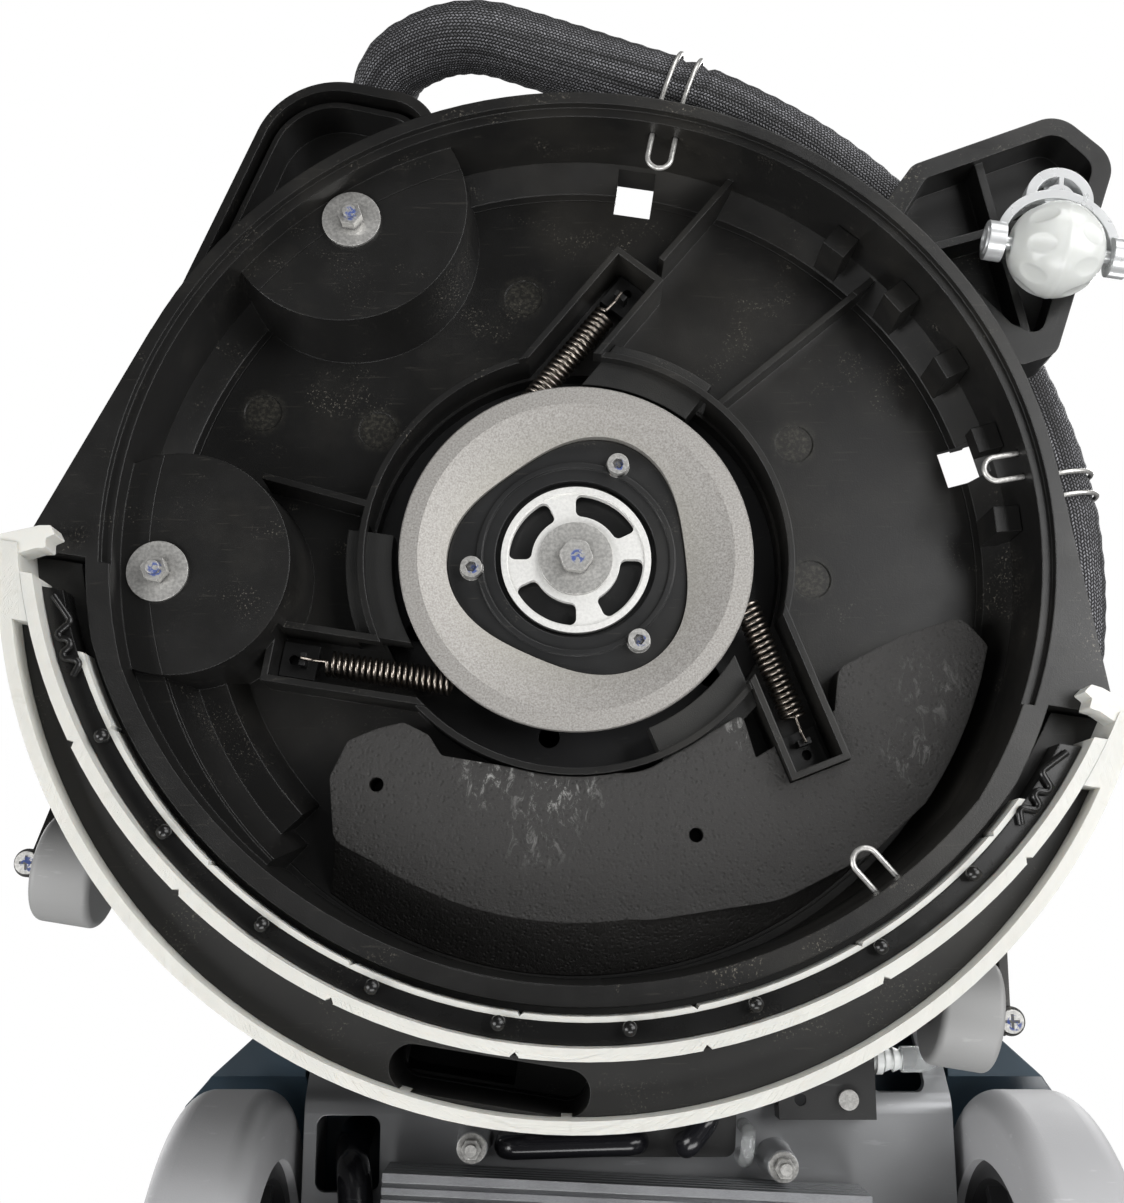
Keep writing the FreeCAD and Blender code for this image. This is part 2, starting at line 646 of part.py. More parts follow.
# ---- suction hose ----
REAR_R = 224.0                 # radius of the hose's run round the rear right
LOOP_R = 290.0                 # radius of its run round the front
LOOP_END = -80.0               # where that run straightens, degrees
TURN_ANGLE = -20.0             # deck angle where one run meets the other, degrees


def arc_centre(radius):
    """Centre of an arc that meets the rim run at the turn angle."""
    x, y = polar(HOSE_RIM_R - radius, TURN_ANGLE)
    return x, y


def arc_points(radius, angles):
    cx, cy = arc_centre(radius)
    spots = [polar(radius, a) for a in angles]
    return [V(cx + x, cy + y, HOSE_Z) for x, y in spots]


def hose_edges():
    """Route of the hose's centre line, from the duct at the rear to the union on the swivel axis."""
    rear = arc_points(REAR_R, (90.0, 35.0, TURN_ANGLE))
    front = arc_points(LOOP_R, (TURN_ANGLE, -50.0, LOOP_END))
    front[0] = rear[2]
    edges = [Part.Arc(*rear).toShape(), Part.Arc(*front).toShape()]
    heading = V(*polar(1.0, LOOP_END - 90.0), 0)
    end = front[2]
    bulge = end + heading * 108.0
    run = [end, bulge, V(-154, -272, 128), V(-132, -218, 180), V(-57, -98, UNION_Z), V(-25.5, -44, UNION_Z)]
    return edges + rounded_edges(run, [0, 70, 36, 140, 80, 0], False)


def hose_spot(angle):
    """Point and heading of the hose where it passes this clockwise angle from the deck's front."""
    look = around_front(1.0, angle)
    best = None
    for radius, low, high in ((REAR_R, TURN_ANGLE, 90.0), (LOOP_R, LOOP_END, TURN_ANGLE)):
        cx, cy = arc_centre(radius)
        along = look[0] * cx + look[1] * cy
        reach = along + math.sqrt(along ** 2 - cx ** 2 - cy ** 2 + radius ** 2)
        spot = V(look[0] * reach, look[1] * reach, HOSE_Z)
        turn = math.degrees(math.atan2(spot.y - cy, spot.x - cx))
        if low - 1e-6 <= turn <= high + 1e-6:
            best = (spot, turn)
    return best


def suction_hose():
    edges = hose_edges()
    hose = pipe(edges, HOSE_R)
    length = sum(e.Length for e in edges)
    print("suction_hose length", round(length, 1), "volume ratio",
          round(hose.Volume / (math.pi * HOSE_R ** 2 * length), 4))
    return hose


def hose_union():
    """Elbow on the swivel axis: the hose comes in level and leaves upward."""
    heading = V(-0.5, -0.866, 0).normalize()
    arm = Part.makeCylinder(21.0, 50.0, V(0, 0, UNION_Z), heading)
    hose_zone = pipe(hose_edges()[-1:], HOSE_R + 0.15)
    knee = Part.makeSphere(22.0, V(0, 0, UNION_Z))
    neck = cyl(18.0, 34, z=UNION_Z)
    collar = cyl(24.0, 3.8, z=UNION_Z + 18)
    foot = cyl(26.0, 6, z=212.05)
    stem = cyl(16.0, 22, z=214)
    body = fuse([arm, knee, neck, collar, foot, stem])
    return body.cut(hose_zone)


def hose_hoops(angle):
    """Two wire hoops round the hose, each with a leg that runs to the skirt."""
    spot, turn = hose_spot(angle)
    outward = V(*polar(1.0, turn), 0)
    heading = V(-outward.y, outward.x, 0)
    look = V(*around_front(1.0, angle), 0)
    across = V(-look.y, look.x, 0)
    wires = []
    for side in (-CLIP_HALF, CLIP_HALF):
        centre = spot + heading * side
        hoop = Part.makeTorus(HOSE_R + 1.45, 1.2, centre, heading)
        wall = look * (DECK_R + 4.0) + across * side
        inside = look * 189.0 + across * side
        low = centre - outward * 12.6
        leg = wire_bar([(inside.x, inside.y, CLIP_Z), (wall.x, wall.y, CLIP_Z),
                        (low.x, low.y, HOSE_Z - 15.4)],
                       [0, 3, 0], 1.2)
        wires += [hoop, leg]
    return wires


def hose_clips():
    """Double wire clips; the one at the rear only shows its inner bow."""
    clips = []
    for angle in CLIP_ANGLES:
        bow_r = 189.0
        if angle > 90:
            bow_r = 183.0
            wires = [turned(cyl(1.2, 17.0, side, -200.0, CLIP_Z, Y_AXIS),
                            angle) for side in (-CLIP_HALF, CLIP_HALF)]
        else:
            wires = hose_hoops(angle)
        bow = Part.makeTorus(CLIP_HALF, 1.2, V(0, -bow_r, CLIP_Z), Z_AXIS)
        bow = bow.common(block(-10, 10, -bow_r, -160, CLIP_Z - 5, CLIP_Z + 5))
        clips.append(fuse(wires + [turned(bow, angle)]))
    return clips


# ---- support rollers (deck frame) ----
LUG_X = 18.5


def roller_arms():
    """Bracket over each roller: a top plate, a foot, two cheeks and two screw lugs."""
    arms = []
    clear = cyl(SQ_OUTER_R + 0.05, 60.02, z=0).cut(cyl(100, 70, z=-4))
    step = cyl(238.2, 9.38, z=55).cut(cyl(100, 70, z=0))
    for side in (-1, 1):
        top = block(150, 209, 96, 176, 74.3, 78.2).common(cyl(268.0, 20, z=70))
        foot = block(150, 178, 112, 148, 64.4, 75).common(cyl(237.0, 20, z=60))
        outer = side_plate([(112, 78), (150, 78), (172, 62), (179, 56), (179, 41), (170, 39), (112, 66)],
                           [0, 6, 6, 2, 5, 4, 4], ROLLER_X + 14.0, ROLLER_X + 18.0)
        inner = side_plate([(150, 78), (168, 76), (179, 56), (179, 41), (170, 39), (156, 52)],
                           [0, 4, 5, 5, 4, 4], ROLLER_X - 18.0, ROLLER_X - 14.0)
        lugs = [cyl(6.0, 20, ROLLER_X + face * LUG_X, ROLLER_Y, ROLLER_Z - 10) for face in (-1, 1)]
        heads = [cyl(5.4, 3.0, ROLLER_X + face * LUG_X, ROLLER_Y, ROLLER_Z - 12.98) for face in (-1, 1)]
        walls = fuse([foot, outer, inner] + lugs).cut(clear).cut(step)
        body = walls.fuse(top).cut(cyl(DECK_R + 0.1, 40, z=50))
        hole = cyl(4.0, 60, ROLLER_X - 30, ROLLER_Y, ROLLER_Z, X_AXIS)
        body = largest(body.cut(Part.makeCompound(roller_spaces(1.0) + heads + [hole])))
        arms.append(body if side > 0 else body.mirror(V(0, 0, 0), X_AXIS))
    return arms


def roller_screws():
    screws = []
    for side in (-1, 1):
        for face in (-1, 1):
            head = cyl(4.8, 2.4, side * (ROLLER_X + face * LUG_X), ROLLER_Y, ROLLER_Z - 12.45)
            screws.append(head)
    return screws


def roller_pins():
    pins = []
    for side in (-1, 1):
        pins.append(cyl(4.0, 35.0, side * ROLLER_X - 17.5, ROLLER_Y, ROLLER_Z, X_AXIS))
    return pins


def roller(side):
    body = cyl(ROLLER_R, ROLLER_W, side * ROLLER_X - ROLLER_W / 2, ROLLER_Y, ROLLER_Z, X_AXIS)
    body = body.makeFillet(3.0, [e for e in body.Edges if e.Length > 100])
    return body.cut(cyl(4.0 + RUN, 60, side * ROLLER_X - 30, ROLLER_Y, ROLLER_Z, X_AXIS))


# ---- drive unit ----
LOBE_ANGLE = 45.0              # deck angle of one lobe of the drive hub


def lobed_outline(radius, lobe, z):
    points = []
    for k in range(36):
        angle = 10.0 * k
        r = radius + lobe * math.cos(math.radians(3 * (angle - LOBE_ANGLE)))
        points.append(V(*polar(r, angle), z))
    curve = Part.BSplineCurve()
    curve.interpolate(points, PeriodicFlag=True)
    return Part.Wire(curve.toShape())


def lobed_block(radius, lobe, z0, z1):
    return Part.Face(lobed_outline(radius, lobe, z0)).extrude(V(0, 0, z1 - z0))


def drive_ring():
    """Flat outer band, dished towards a three-lobed hole."""
    section = [V(44, 0, RING_Z + 8), V(72, 0, RING_Z), V(RING_R - 0.6, 0, RING_Z),
               V(RING_R, 0, RING_Z + 0.6),
               V(RING_R, 0, RING_Z + 5.5), V(72, 0, RING_Z + 5.5), V(44, 0, RING_Z + 13.5)]
    face = Part.Face(Part.makePolygon(section + section[:1]))
    dish = face.revolve(V(0, 0, 0), Z_AXIS, 360)
    return dish.cut(lobed_block(54.6, 4.6, RING_Z - 5, RING_Z + 30))


def drive_hub():
    lobes = lobed_block(54.2, 4.6, RING_Z + 8, RING_Z + 14)
    flange = cyl(66, 7, z=RING_Z + 14)
    ridge = ring(45.5, 43.0, 1.5, z=RING_Z + 6.6)
    body = fuse([lobes, flange, ridge])
    opening = cyl(37.0, 12, z=RING_Z + 2)
    recess = cyl(34.8, 6, z=RING_Z + 12)
    bore = cyl(9.0, 40, z=RING_Z)
    seats = [cyl(5.6, 3.0, *polar(48.0, LOBE_ANGLE + 120 * k), RING_Z + 5.0) for k in range(3)]
    return body.cut(Part.makeCompound([opening, recess.cut(cyl(20, 10, z=RING_Z + 12)), bore] + seats))


def hub_screws():
    screws = []
    for k in range(3):
        x, y = polar(48.0, LOBE_ANGLE + 120 * k)
        head = cyl(4.9, 5.0, x, y, RING_Z + 2.9).cut(hex_bar(4.6, 3.0, x, y, RING_Z + 2.0))
        washer = cyl(5.5, 0.1, x, y, RING_Z + 7.85)
        screws.append(head.fuse(washer).removeSplitter())
    return screws


SLOT_HALF = 32.0               # half of each slot's sweep in the silver disc, degrees
SLOT_ANGLE = 23.0


def drive_disc():
    body = cyl(34.5, 4.0, z=RING_Z + 10)
    slots = []
    for k in range(4):
        slot = ring(31.0, 20.5, 12, z=RING_Z + 6)
        wedge = [turned(block(0, 60, 0, 60, RING_Z, RING_Z + 30), SLOT_HALF),
                 turned(block(0, 60, -60, 0, RING_Z, RING_Z + 30), -SLOT_HALF)]
        slot = slot.common(block(0, 60, -60, 60, RING_Z, RING_Z + 30)).cut(Part.makeCompound(wedge))
        slot = slot.makeFillet(3.0, [e for e in slot.Edges if abs(e.tangentAt(e.FirstParameter).z) > 0.99])
        slots.append(turned(slot, SLOT_ANGLE + 90 * k))
    body = body.cut(Part.makeCompound(slots))
    body = body.fuse(ring(34.5, 31.6, 1.0, z=RING_Z + 9.05))
    return body.cut(cyl(8.2, 40, z=RING_Z)).removeSplitter()


def centre_washer():
    return ring(17.0, 4.6, 2.4, z=RING_Z + 7.5)


def centre_bolt():
    head = hex_bar(14.0, 6.0, 0, 0, RING_Z + 1.5)
    cap = cyl(7.6, 6.0, z=RING_Z + 1.5)
    return head.common(cap).fuse([cyl(4.5, 20.0, z=RING_Z + 7.4)]).removeSplitter()


def drive_shaft():
    return ring(8.0, 4.55, 24.0, z=RING_Z + 9.95)


def gearmotor():
    box = cyl(58, 34, z=76)
    flange = cyl(TURRET_BORE_R - RUN, 6, z=84)
    can = cyl(66, 70, z=108)
    cap = cyl(60, 6, z=178)
    bore = cyl(8.0 + RUN, 16, z=70)
    bores = [cyl(5.0, 60, *polar(80.0, 30 + 60 * k), 70) for k in range(6)]
    body = fuse([box, flange, can, cap])
    lugs = []
    for angle in SPRING_ANGLES:
        lug = cyl(3.0, 27.0, SPRING_RUN + 1.0, 0, 58.0)
        lugs.append(in_spring_frame(lug, angle))
    return body.cut(Part.makeCompound([bore] + bores)).fuse(lugs).removeSplitter()


def turret_cap():
    """Keeper ring that holds the swivel bearing down, with the motor's cover above it."""
    keeper = ring(110, 90, 4.0, z=TURRET_TOP_Z + 0.01)
    wall = ring(94, 90, 67, z=TURRET_TOP_Z + 3)
    lid = cone(94, 84, 5, z=207)
    fins = [turned(block(92, 102, -1.5, 1.5, TURRET_TOP_Z + 3, 172), 30 * k + 15) for k in range(12)]
    return fuse([keeper, wall, lid] + fins)


# ---- chassis (machine frame) ----
def swivel_arm():
    hoop = cyl(120, 16, z=118)
    beam = plate([(CHASSIS_X - 60, 60), (CHASSIS_X + 60, 60), (CHASSIS_X + 48, 268), (CHASSIS_X - 48, 268)],
                 [5, 5, 5, 5], 118.0, 133.95)
    ribs = [block(CHASSIS_X + dx - 3, CHASSIS_X + dx + 3, 122, 190, 133, 146) for dx in (-40, 0, 40)]
    body = fuse([hoop, beam] + ribs)
    body = body.cut(cyl(TURRET_R + RUN, 60, z=100))
    return body.cut(cyl(110.3, 30, z=TURRET_TOP_Z - 3.0))


def chassis_pan():
    """Bent steel pan with a sloping front lip, side cheeks, cut-outs and two bosses."""
    thick = 4.0
    left = CHASSIS_X - PAN_HALF
    right = CHASSIS_X + PAN_HALF
    outline = [(204, 170), (246, PAN_Z), (520, PAN_Z), (520, PAN_Z + thick), (248, PAN_Z + thick),
               (207, 172.5)]
    sheet = side_plate(outline, [0, 14, 0, 0, 10, 0], left, right)
    cheeks = []
    for x0 in (left, right - thick):
        cheeks.append(side_plate([(204, 170), (246, PAN_Z), (520, PAN_Z), (520, 176), (204, 176)],
                                 [0, 14, 0, 10, 0],
                                 x0, x0 + thick))
    frame = fuse([sheet] + cheeks)
    bosses = []
    for x, y in BOSSES:
        bosses.append(cone(7.0, 8.4, PAN_Z - 104 + 2, x, y, 104))
    frame = frame.fuse(bosses)
    holes = [plate([(-122, 252), (-92, 252), (-92, 286), (-122, 286)], 5, 100, 180),
             plate([(141, 209), (167, 209), (167, 242), (141, 242)], 5, 100, 190)]
    return frame.cut(Part.makeCompound(holes)).fuse(axle_blocks()).removeSplitter()


BOSSES = ((-47.0, 262.0), (93.0, 270.0))


def chassis_fasteners():
    parts = []
    for x, y in BOSSES:
        washer = cyl(6.6, 1.4, x, y, 102.55)
        nut = hex_bar(8.0, 5.0, x, y, 97.6)
        stud = cyl(2.6, 4.0, x, y, 95.0)
        parts.append(fuse([washer, nut, stud]))
    screw = cyl(4.6, 2.6, 126.0, 243.0, 116.35)
    rivet = cyl(2.6, 1.6, 126.0, 226.0, 117.35)
    return parts + [screw, rivet]


def valve_bracket():
    front = block(94, 139, 222, 252, 119, 122)
    up = block(136, 139, 222, 252, 119, 133)
    flange = block(94, 99, 246, 252, 119, PAN_Z - 0.02)
    body = fuse([front, up, flange])
    return body.cut(cyl(2.8, 20, 104, 243, 112)).removeSplitter()


def barb_fitting():
    """Barbed elbow that carries the clear hose off the bracket."""
    x0, y, z = 139.1, 226.0, 127.5
    body = cyl(4.6, 14, x0, y, z, X_AXIS)
    barbs = [cone(5.8, 4.2, 4.0, x0 + 6 + 4 * k, y, z, X_AXIS) for k in range(2)]
    collar = cyl(6.8, 3.0, x0 + 2, y, z, X_AXIS)
    return fuse([body, collar] + barbs)


def clear_hose():
    main = wire_bar([(153.3, 226, 127.5), (166, 226, 127.5), (186, 204, 140), (186, 200, 162)],
                    [0, 9, 9, 0], 6.0)
    drop = wire_bar([(79, 256, 133.9), (79, 256, 112), (77, 269, 109), (77, 269, 133.9)], [0, 5, 5, 0], 3.2)
    return [main, drop]


def drain_hoses():
    """Dark hoses: one through the left cut-out, two that hang in loops ahead of the heat sink."""
    runs = [
        ([(-107, 264, 168), (-106, 268, 140), (-102, 275, 120), (-97, 312, 110)], 8.0, 14),
        ([(-32, 263, 133.9), (-32, 263, 112), (28, 261, 112), (28, 261, 117.9)], 5.5, 5),
        ([(60, 250, 117.9), (60, 250, 108), (50, 262, 106), (50, 262, 117.9)], 5.5, 5),
    ]
    return [wire_bar(points, [0, bend, bend, 0], radius) for points, radius, bend in runs]


def controller_box():
    """Ribbed aluminium heat sink under the pan."""
    width = 217.0
    depth = 44.0
    body = block(0, width, 0, depth, 0, 30)
    grooves = [block(-1, width + 1, 4 + 5 * k, 6 + 5 * k, -1, 2.5) for k in range(8)]
    face_grooves = [block(-1, width + 1, -1, 1.2, 5 + 6 * k, 7 + 6 * k) for k in range(4)]
    body = body.cut(Part.makeCompound(grooves + face_grooves))
    posts = [cyl(5.0, PAN_Z - 96.0 - 29.9, x, 30, 29.8) for x in (20, width - 20)]
    body = body.fuse(posts)
    body.rotate(V(0, 0, 0), Z_AXIS, 2.6)
    body.translate(V(-86, 271.2, 96))
    return body


def axle():
    return cyl(AXLE_R, WHEEL_X[1] - WHEEL_X[0] + WHEEL_W + 16, WHEEL_X[0] - WHEEL_W / 2 - 8, WHEEL_Y,
               WHEEL_R, X_AXIS)


def axle_blocks():
    blocks = []
    for x0 in (CHASSIS_X - PAN_HALF + 5, CHASSIS_X + PAN_HALF - 19):
        body = side_plate([(WHEEL_Y - 24, PAN_Z + 1), (WHEEL_Y - 13, 92), (WHEEL_Y, 86), (WHEEL_Y + 13, 92),
                           (WHEEL_Y + 24, PAN_Z + 1)], [0, 8, 12, 8, 0], x0, x0 + 14)
        blocks.append(body.cut(cyl(AXLE_R, 30, x0 - 5, WHEEL_Y, WHEEL_R, X_AXIS)))
    return blocks


def wheel_hub(x):
    half = WHEEL_W / 2
    rim = ring(70, 62, WHEEL_W - 8, x - half + 4, WHEEL_Y, WHEEL_R, X_AXIS)
    web = cyl(63, 8, x - 4, WHEEL_Y, WHEEL_R, X_AXIS)
    boss = cyl(20, WHEEL_W - 6, x - half + 3, WHEEL_Y, WHEEL_R, X_AXIS)
    ribs = []
    for k in range(6):
        rib = block(x - half + 8, x + half - 8, WHEEL_Y - 3, WHEEL_Y + 3, WHEEL_R + 18, WHEEL_R + 64)
        ribs.append(turned(rib, 60 * k, V(x, WHEEL_Y, WHEEL_R), X_AXIS))
    body = fuse([rim, web, boss] + ribs)
    return body.cut(cyl(AXLE_R + RUN, 80, x - 40, WHEEL_Y, WHEEL_R, X_AXIS))


def wheel_tyre(x):
    half = WHEEL_W / 2
    body = cyl(WHEEL_R, WHEEL_W, x - half, WHEEL_Y, WHEEL_R, X_AXIS)
    body = body.makeFillet(10.0, [e for e in body.Edges if e.Length > 100])
    return body.cut(cyl(70.05, 80, x - 40, WHEEL_Y, WHEEL_R, X_AXIS))


def hub_caps():
    caps = []
    for x, side in zip(WHEEL_X, (-1, 1)):
        outer = x + side * (WHEEL_W / 2 + 1.5)
        x0 = outer if side > 0 else outer - 3.0
        caps.append(ring(13.0, AXLE_R + 0.01, 3.0, x0, WHEEL_Y, WHEEL_R, X_AXIS))
    return caps


TANK_FRONT_Y = 162.0
TANK_OUTLINE = [(-199, 256), (-91, TANK_FRONT_Y), (141, TANK_FRONT_Y), (249, 256), (249, 505), (-199, 505)]
TANK_RADII = [34, 50, 50, 34, 40, 40]


def inset_outline(points, inset):
    """Moves an outline's corners towards its middle by about the inset on each side."""
    mid_x = CHASSIS_X
    mid_y = 350.0
    moved = []
    for x, y in points:
        moved.append((x - math.copysign(inset, x - mid_x), y - math.copysign(inset, y - mid_y)))
    return moved


def tank_block(inset, z0, z1):
    return plate(inset_outline(TANK_OUTLINE, inset), [max(r - inset, 2) for r in TANK_RADII], z0, z1)


FILL_CAP = (-150.0, 470.0)


def solution_tank():
    """Lower tank: a hollow moulding with belt grooves, wheel arches and front keels."""
    body = tank_block(0, 178.0, TANK_SPLIT_Z - 2)
    keel = plate([(-196, 254), (-150, 212), (-130.5, 212), (-130.5, 300), (-196, 300)], [8, 8, 0.5, 0.5, 4],
                 148.0, 190.0)
    keel_right = plate([(180.5, 212), (200, 212), (246, 254), (246, 300), (180.5, 300)],
                       [0.5, 8, 8, 4, 0.5],
                       148.0, 190.0)
    body = fuse([body, keel, keel_right])
    grooves = []
    for k in range(3):
        z = 230.0 + 50 * k
        grooves.append(tank_block(-3, z, z + 6).cut(tank_block(3, z - 1, z + 7)))
    body = body.cut(Part.makeCompound(grooves))
    cavity = tank_block(TANK_WALL + 3, 218.0, TANK_SPLIT_Z - 8)
    wells = [cyl(WHEEL_R + 12, 92, -220, WHEEL_Y, WHEEL_R, X_AXIS),
             cyl(WHEEL_R + 12, 92, 178, WHEEL_Y, WHEEL_R, X_AXIS)]
    low_cavity = plate([(-84, 180), (134, 180), (134, 480), (-84, 480)], 20, 184.0, 219.0)
    return body.cut(Part.makeCompound([cavity, low_cavity] + wells)).removeSplitter()


def battery_pack():
    return fuse([plate([(-70, 400), (110, 400), (110, 500), (-70, 500)], 6, PAN_Z + 4.1, 177.8)])


def suction_riser():
    """Fixed pipe from the rotary union up into the front of the recovery tank."""
    points = [(0, 0, UNION_Z + 22), (0, 0, 470), (0, 118, 520), (0, TANK_FRONT_Y - 8, 520)]
    bar = wire_bar(points, [0, 50, 24, 0], 22.5)
    return bar.cut(wire_bar(points, [0, 50, 24, 0], 18.0 + RUN))


POST_OUTLINE = [(512, 142), (556, 142), (606, 600), (606, 650), (574, 650), (574, 600), (512, 200)]


def handle_post():
    """Fixed lower post on the back of the chassis, with a fork at its top for the fold joint."""
    x = CHASSIS_X
    post = side_plate(POST_OUTLINE, [6, 12, 20, 16, 16, 20, 12], x - 34, x + 34)
    core = side_plate([(517, 147), (551, 147), (600, 590), (580, 590), (517, 199)], [3, 6, 4, 4, 8],
                      x - 30, x + 30)
    shelf = block(x - 34, x + 34, 500, 540, PAN_Z + 4.1, 146)
    gap = block(x - 22, x + 22, 560, 620, 612, 690)
    body = post.fuse(shelf).cut(Part.makeCompound([core, gap]))
    ends = [cyl(16, 12, x0, PIVOT.y, PIVOT.z, X_AXIS) for x0 in (x - 34, x + 22)]
    body = body.fuse(ends)
    return body.cut(cyl(6.0, 90, x - 45, PIVOT.y, PIVOT.z, X_AXIS)).removeSplitter()


def fold_pin():
    x = CHASSIS_X
    pin = cyl(5.99, 76, x - 38, PIVOT.y, PIVOT.z, X_AXIS)
    heads = [cyl(11, 4, x - 38.1, PIVOT.y, PIVOT.z, X_AXIS), cyl(11, 4, x + 34.1, PIVOT.y, PIVOT.z, X_AXIS)]
    return fuse([pin] + heads)


# ---- recovery tank, lid ----
def recovery_tank():
    body = tank_block(1.5, TANK_SPLIT_Z, TANK_TOP_Z)
    body = body.cut(tank_block(TANK_WALL + 1.5, TANK_SPLIT_Z + 6, TANK_TOP_Z + 5))
    inlet = cyl(26, 12, 0, TANK_FRONT_Y - 6, 520, Y_AXIS)
    grooves = [tank_block(-2, z, z + 5).cut(tank_block(3.5, z - 1, z + 6)) for z in (440.0, 480.0)]
    body = body.cut(Part.makeCompound(grooves))
    body = body.fuse([inlet])
    port = cyl(22.8, 12.0, 0, TANK_FRONT_Y - 18, 520, Y_AXIS)
    return body.cut(port.fuse(cyl(18.0, 60, 0, TANK_FRONT_Y - 20, 520, Y_AXIS))).removeSplitter()


LID_HINGE = V(CHASSIS_X, TANK_FRONT_Y - 9, TANK_TOP_Z + 10)


KNUCKLES = (-42.0, 46.0)


def tank_lid():
    """Hollow lid with a raised crown, a window opening and two hinge arms."""
    top = tank_block(0.5, TANK_TOP_Z + 0.3, TANK_TOP_Z + 16)
    under = tank_block(7, TANK_TOP_Z - 1, TANK_TOP_Z + 12)
    crown = tank_block(26, TANK_TOP_Z + 11, TANK_TOP_Z + 22).cut(tank_block(32, TANK_TOP_Z - 1,
                                                                            TANK_TOP_Z + 18))
    window = plate([(-55, 230), (105, 230), (105, 330), (-55, 330)], 18, TANK_TOP_Z - 4, TANK_TOP_Z + 40)
    y = LID_HINGE.y
    arms = []
    for x in KNUCKLES:
        arms.append(cyl(6.0, 36, x, y, LID_HINGE.z, X_AXIS))
        arms.append(block(x, x + 36, y, y + 16, LID_HINGE.z - 4, LID_HINGE.z + 6))
    body = top.cut(under).fuse([crown] + arms)
    return body.cut(Part.makeCompound([window,
                                       cyl(2.0 + RUN, 300, -130, y, LID_HINGE.z,
                                           X_AXIS)])).removeSplitter()


def lid_window():
    """Clear pane set into the lid's window."""
    pane = plate([(-54.7, 230.3), (104.7, 230.3), (104.7, 329.7), (-54.7, 329.7)], 17.7,
                 TANK_TOP_Z + 16, TANK_TOP_Z + 21)
    return pane


def lid_hinge():
    """Hinge eyes on the tank and the pin through them."""
    y = LID_HINGE.y
    z = LID_HINGE.z
    wall = TANK_FRONT_Y + 1.45
    eyes = []
    for x0 in (-56.0, 18.0, 83.5):
        eyes.append(side_plate([(y - 6, z - 32), (wall, z - 32), (wall, z - 14), (y + 4, z - 8),
                                (y + 4, z + 5),
                                (y - 6, z + 5)], [4, 0, 1, 2, 4, 4], x0, x0 + 13))
    pin = cyl(2.0, 160, -60, y, z, X_AXIS)
    return fuse(eyes + [pin])


# ---- handle ----
def along_handle(shape):
    """Leans a shape drawn upright on the fold axis back to the handle's resting angle."""
    return turned(shape, -HANDLE_LEAN, PIVOT, X_AXIS)


def handle_tube():
    x, y, z = PIVOT
    knuckle = cyl(19, 43, x - 21.5, y, z, X_AXIS)
    post = plate([(x - 21.5, y - 13), (x + 21.5, y - 13), (x + 21.5, y + 13), (x - 21.5, y + 13)], 8, z,
                 z + 270)
    core = plate([(x - 19, y - 10.5), (x + 19, y - 10.5), (x + 19, y + 10.5), (x - 19, y + 10.5)], 5,
                 z + 22, z + 265)
    body = fuse([knuckle, post]).cut(core)
    body = body.cut(cyl(6.0 + RUN, 80, x - 40, y, z, X_AXIS))
    return along_handle(body)


def loop_bar(radius):
    """Round bar bent to the handle's loop, upright on the fold axis."""
    x, y, z = PIVOT
    top = z + 402
    low = z + 296
    half = 185
    points = [(x - 30, y, low), (x - half, y, low + 6), (x - half, y, top), (x + half, y, top),
              (x + half, y, low + 6),
              (x + 30, y, low)]
    return wire_bar(points, [0, 40, 40, 40, 40, 0], radius)


def handle_loop():
    return along_handle(loop_bar(13.0).cut(loop_bar(11.0)))


def handle_grips():
    x, y, z = PIVOT
    top = z + 402
    sleeves = []
    for x0 in (x - 135, x + 25):
        sleeve = ring(16.5, 13.02, 110, x0, y, top, X_AXIS)
        beads = [ring(17.6, 16.0, 4, x0 + 8 + 12 * k, y, top, X_AXIS) for k in range(8)]
        sleeves.append(along_handle(fuse([sleeve] + beads)))
    return sleeves


def control_panel():
    x, y, z = PIVOT
    shell = side_plate([(y - 30, z + 262), (y + 24, z + 262), (y + 26, z + 330), (y + 6, z + 352),
                        (y - 24, z + 340)],
                       [8, 10, 12, 8, 10], x - 62, x + 62)
    cut_post = plate([(x - 21.6, y - 13.1), (x + 21.6, y - 13.1), (x + 21.6, y + 13.1),
                      (x - 21.6, y + 13.1)], 8,
                     z + 250, z + 270.1)
    inner = side_plate([(y - 26, z + 271), (y + 10, z + 271), (y + 10, z + 330), (y - 20, z + 336)],
                       [4, 4, 4, 4],
                       x - 28, x + 22)
    body = shell.cut(Part.makeCompound([cut_post, loop_bar(13.02), inner]))
    wells = [cyl(10.3, 12, x - 36, y + 14, z + 300, Y_AXIS),
             cyl(3.0 + RUN, 24, x + 34, y + 6, z + 300, Y_AXIS)]
    return along_handle(body.cut(Part.makeCompound(wells)))


def power_button():
    x, y, z = PIVOT
    button = cyl(10.0, 10, x - 36, y + 18.2, z + 300, Y_AXIS)
    return along_handle(button)


def flow_knob():
    x, y, z = PIVOT
    knob = fuse([cyl(14, 14, x + 34, y + 26.6, z + 300, Y_AXIS),
                 cyl(3.0, 14, x + 34, y + 13, z + 300, Y_AXIS),
                 block(x + 32.5, x + 35.5, y + 38, y + 42.5, z + 300, z + 313)])
    return along_handle(knob)


def trigger_bar():
    """Safety lever hung under the top of the loop."""
    x, y, z = PIVOT
    level = z + 372
    edges = rounded_edges([V(x - 110, y - 15, level), V(x - 110, y - 34, level + 22),
                           V(x + 110, y - 34, level + 22),
                           V(x + 110, y - 15, level)], [0, 10, 10, 0], False)
    lever = pipe(edges, 5.0)
    return along_handle(fuse([lever, cyl(5.0, 286, x - 143, y - 15, level, X_AXIS)]))


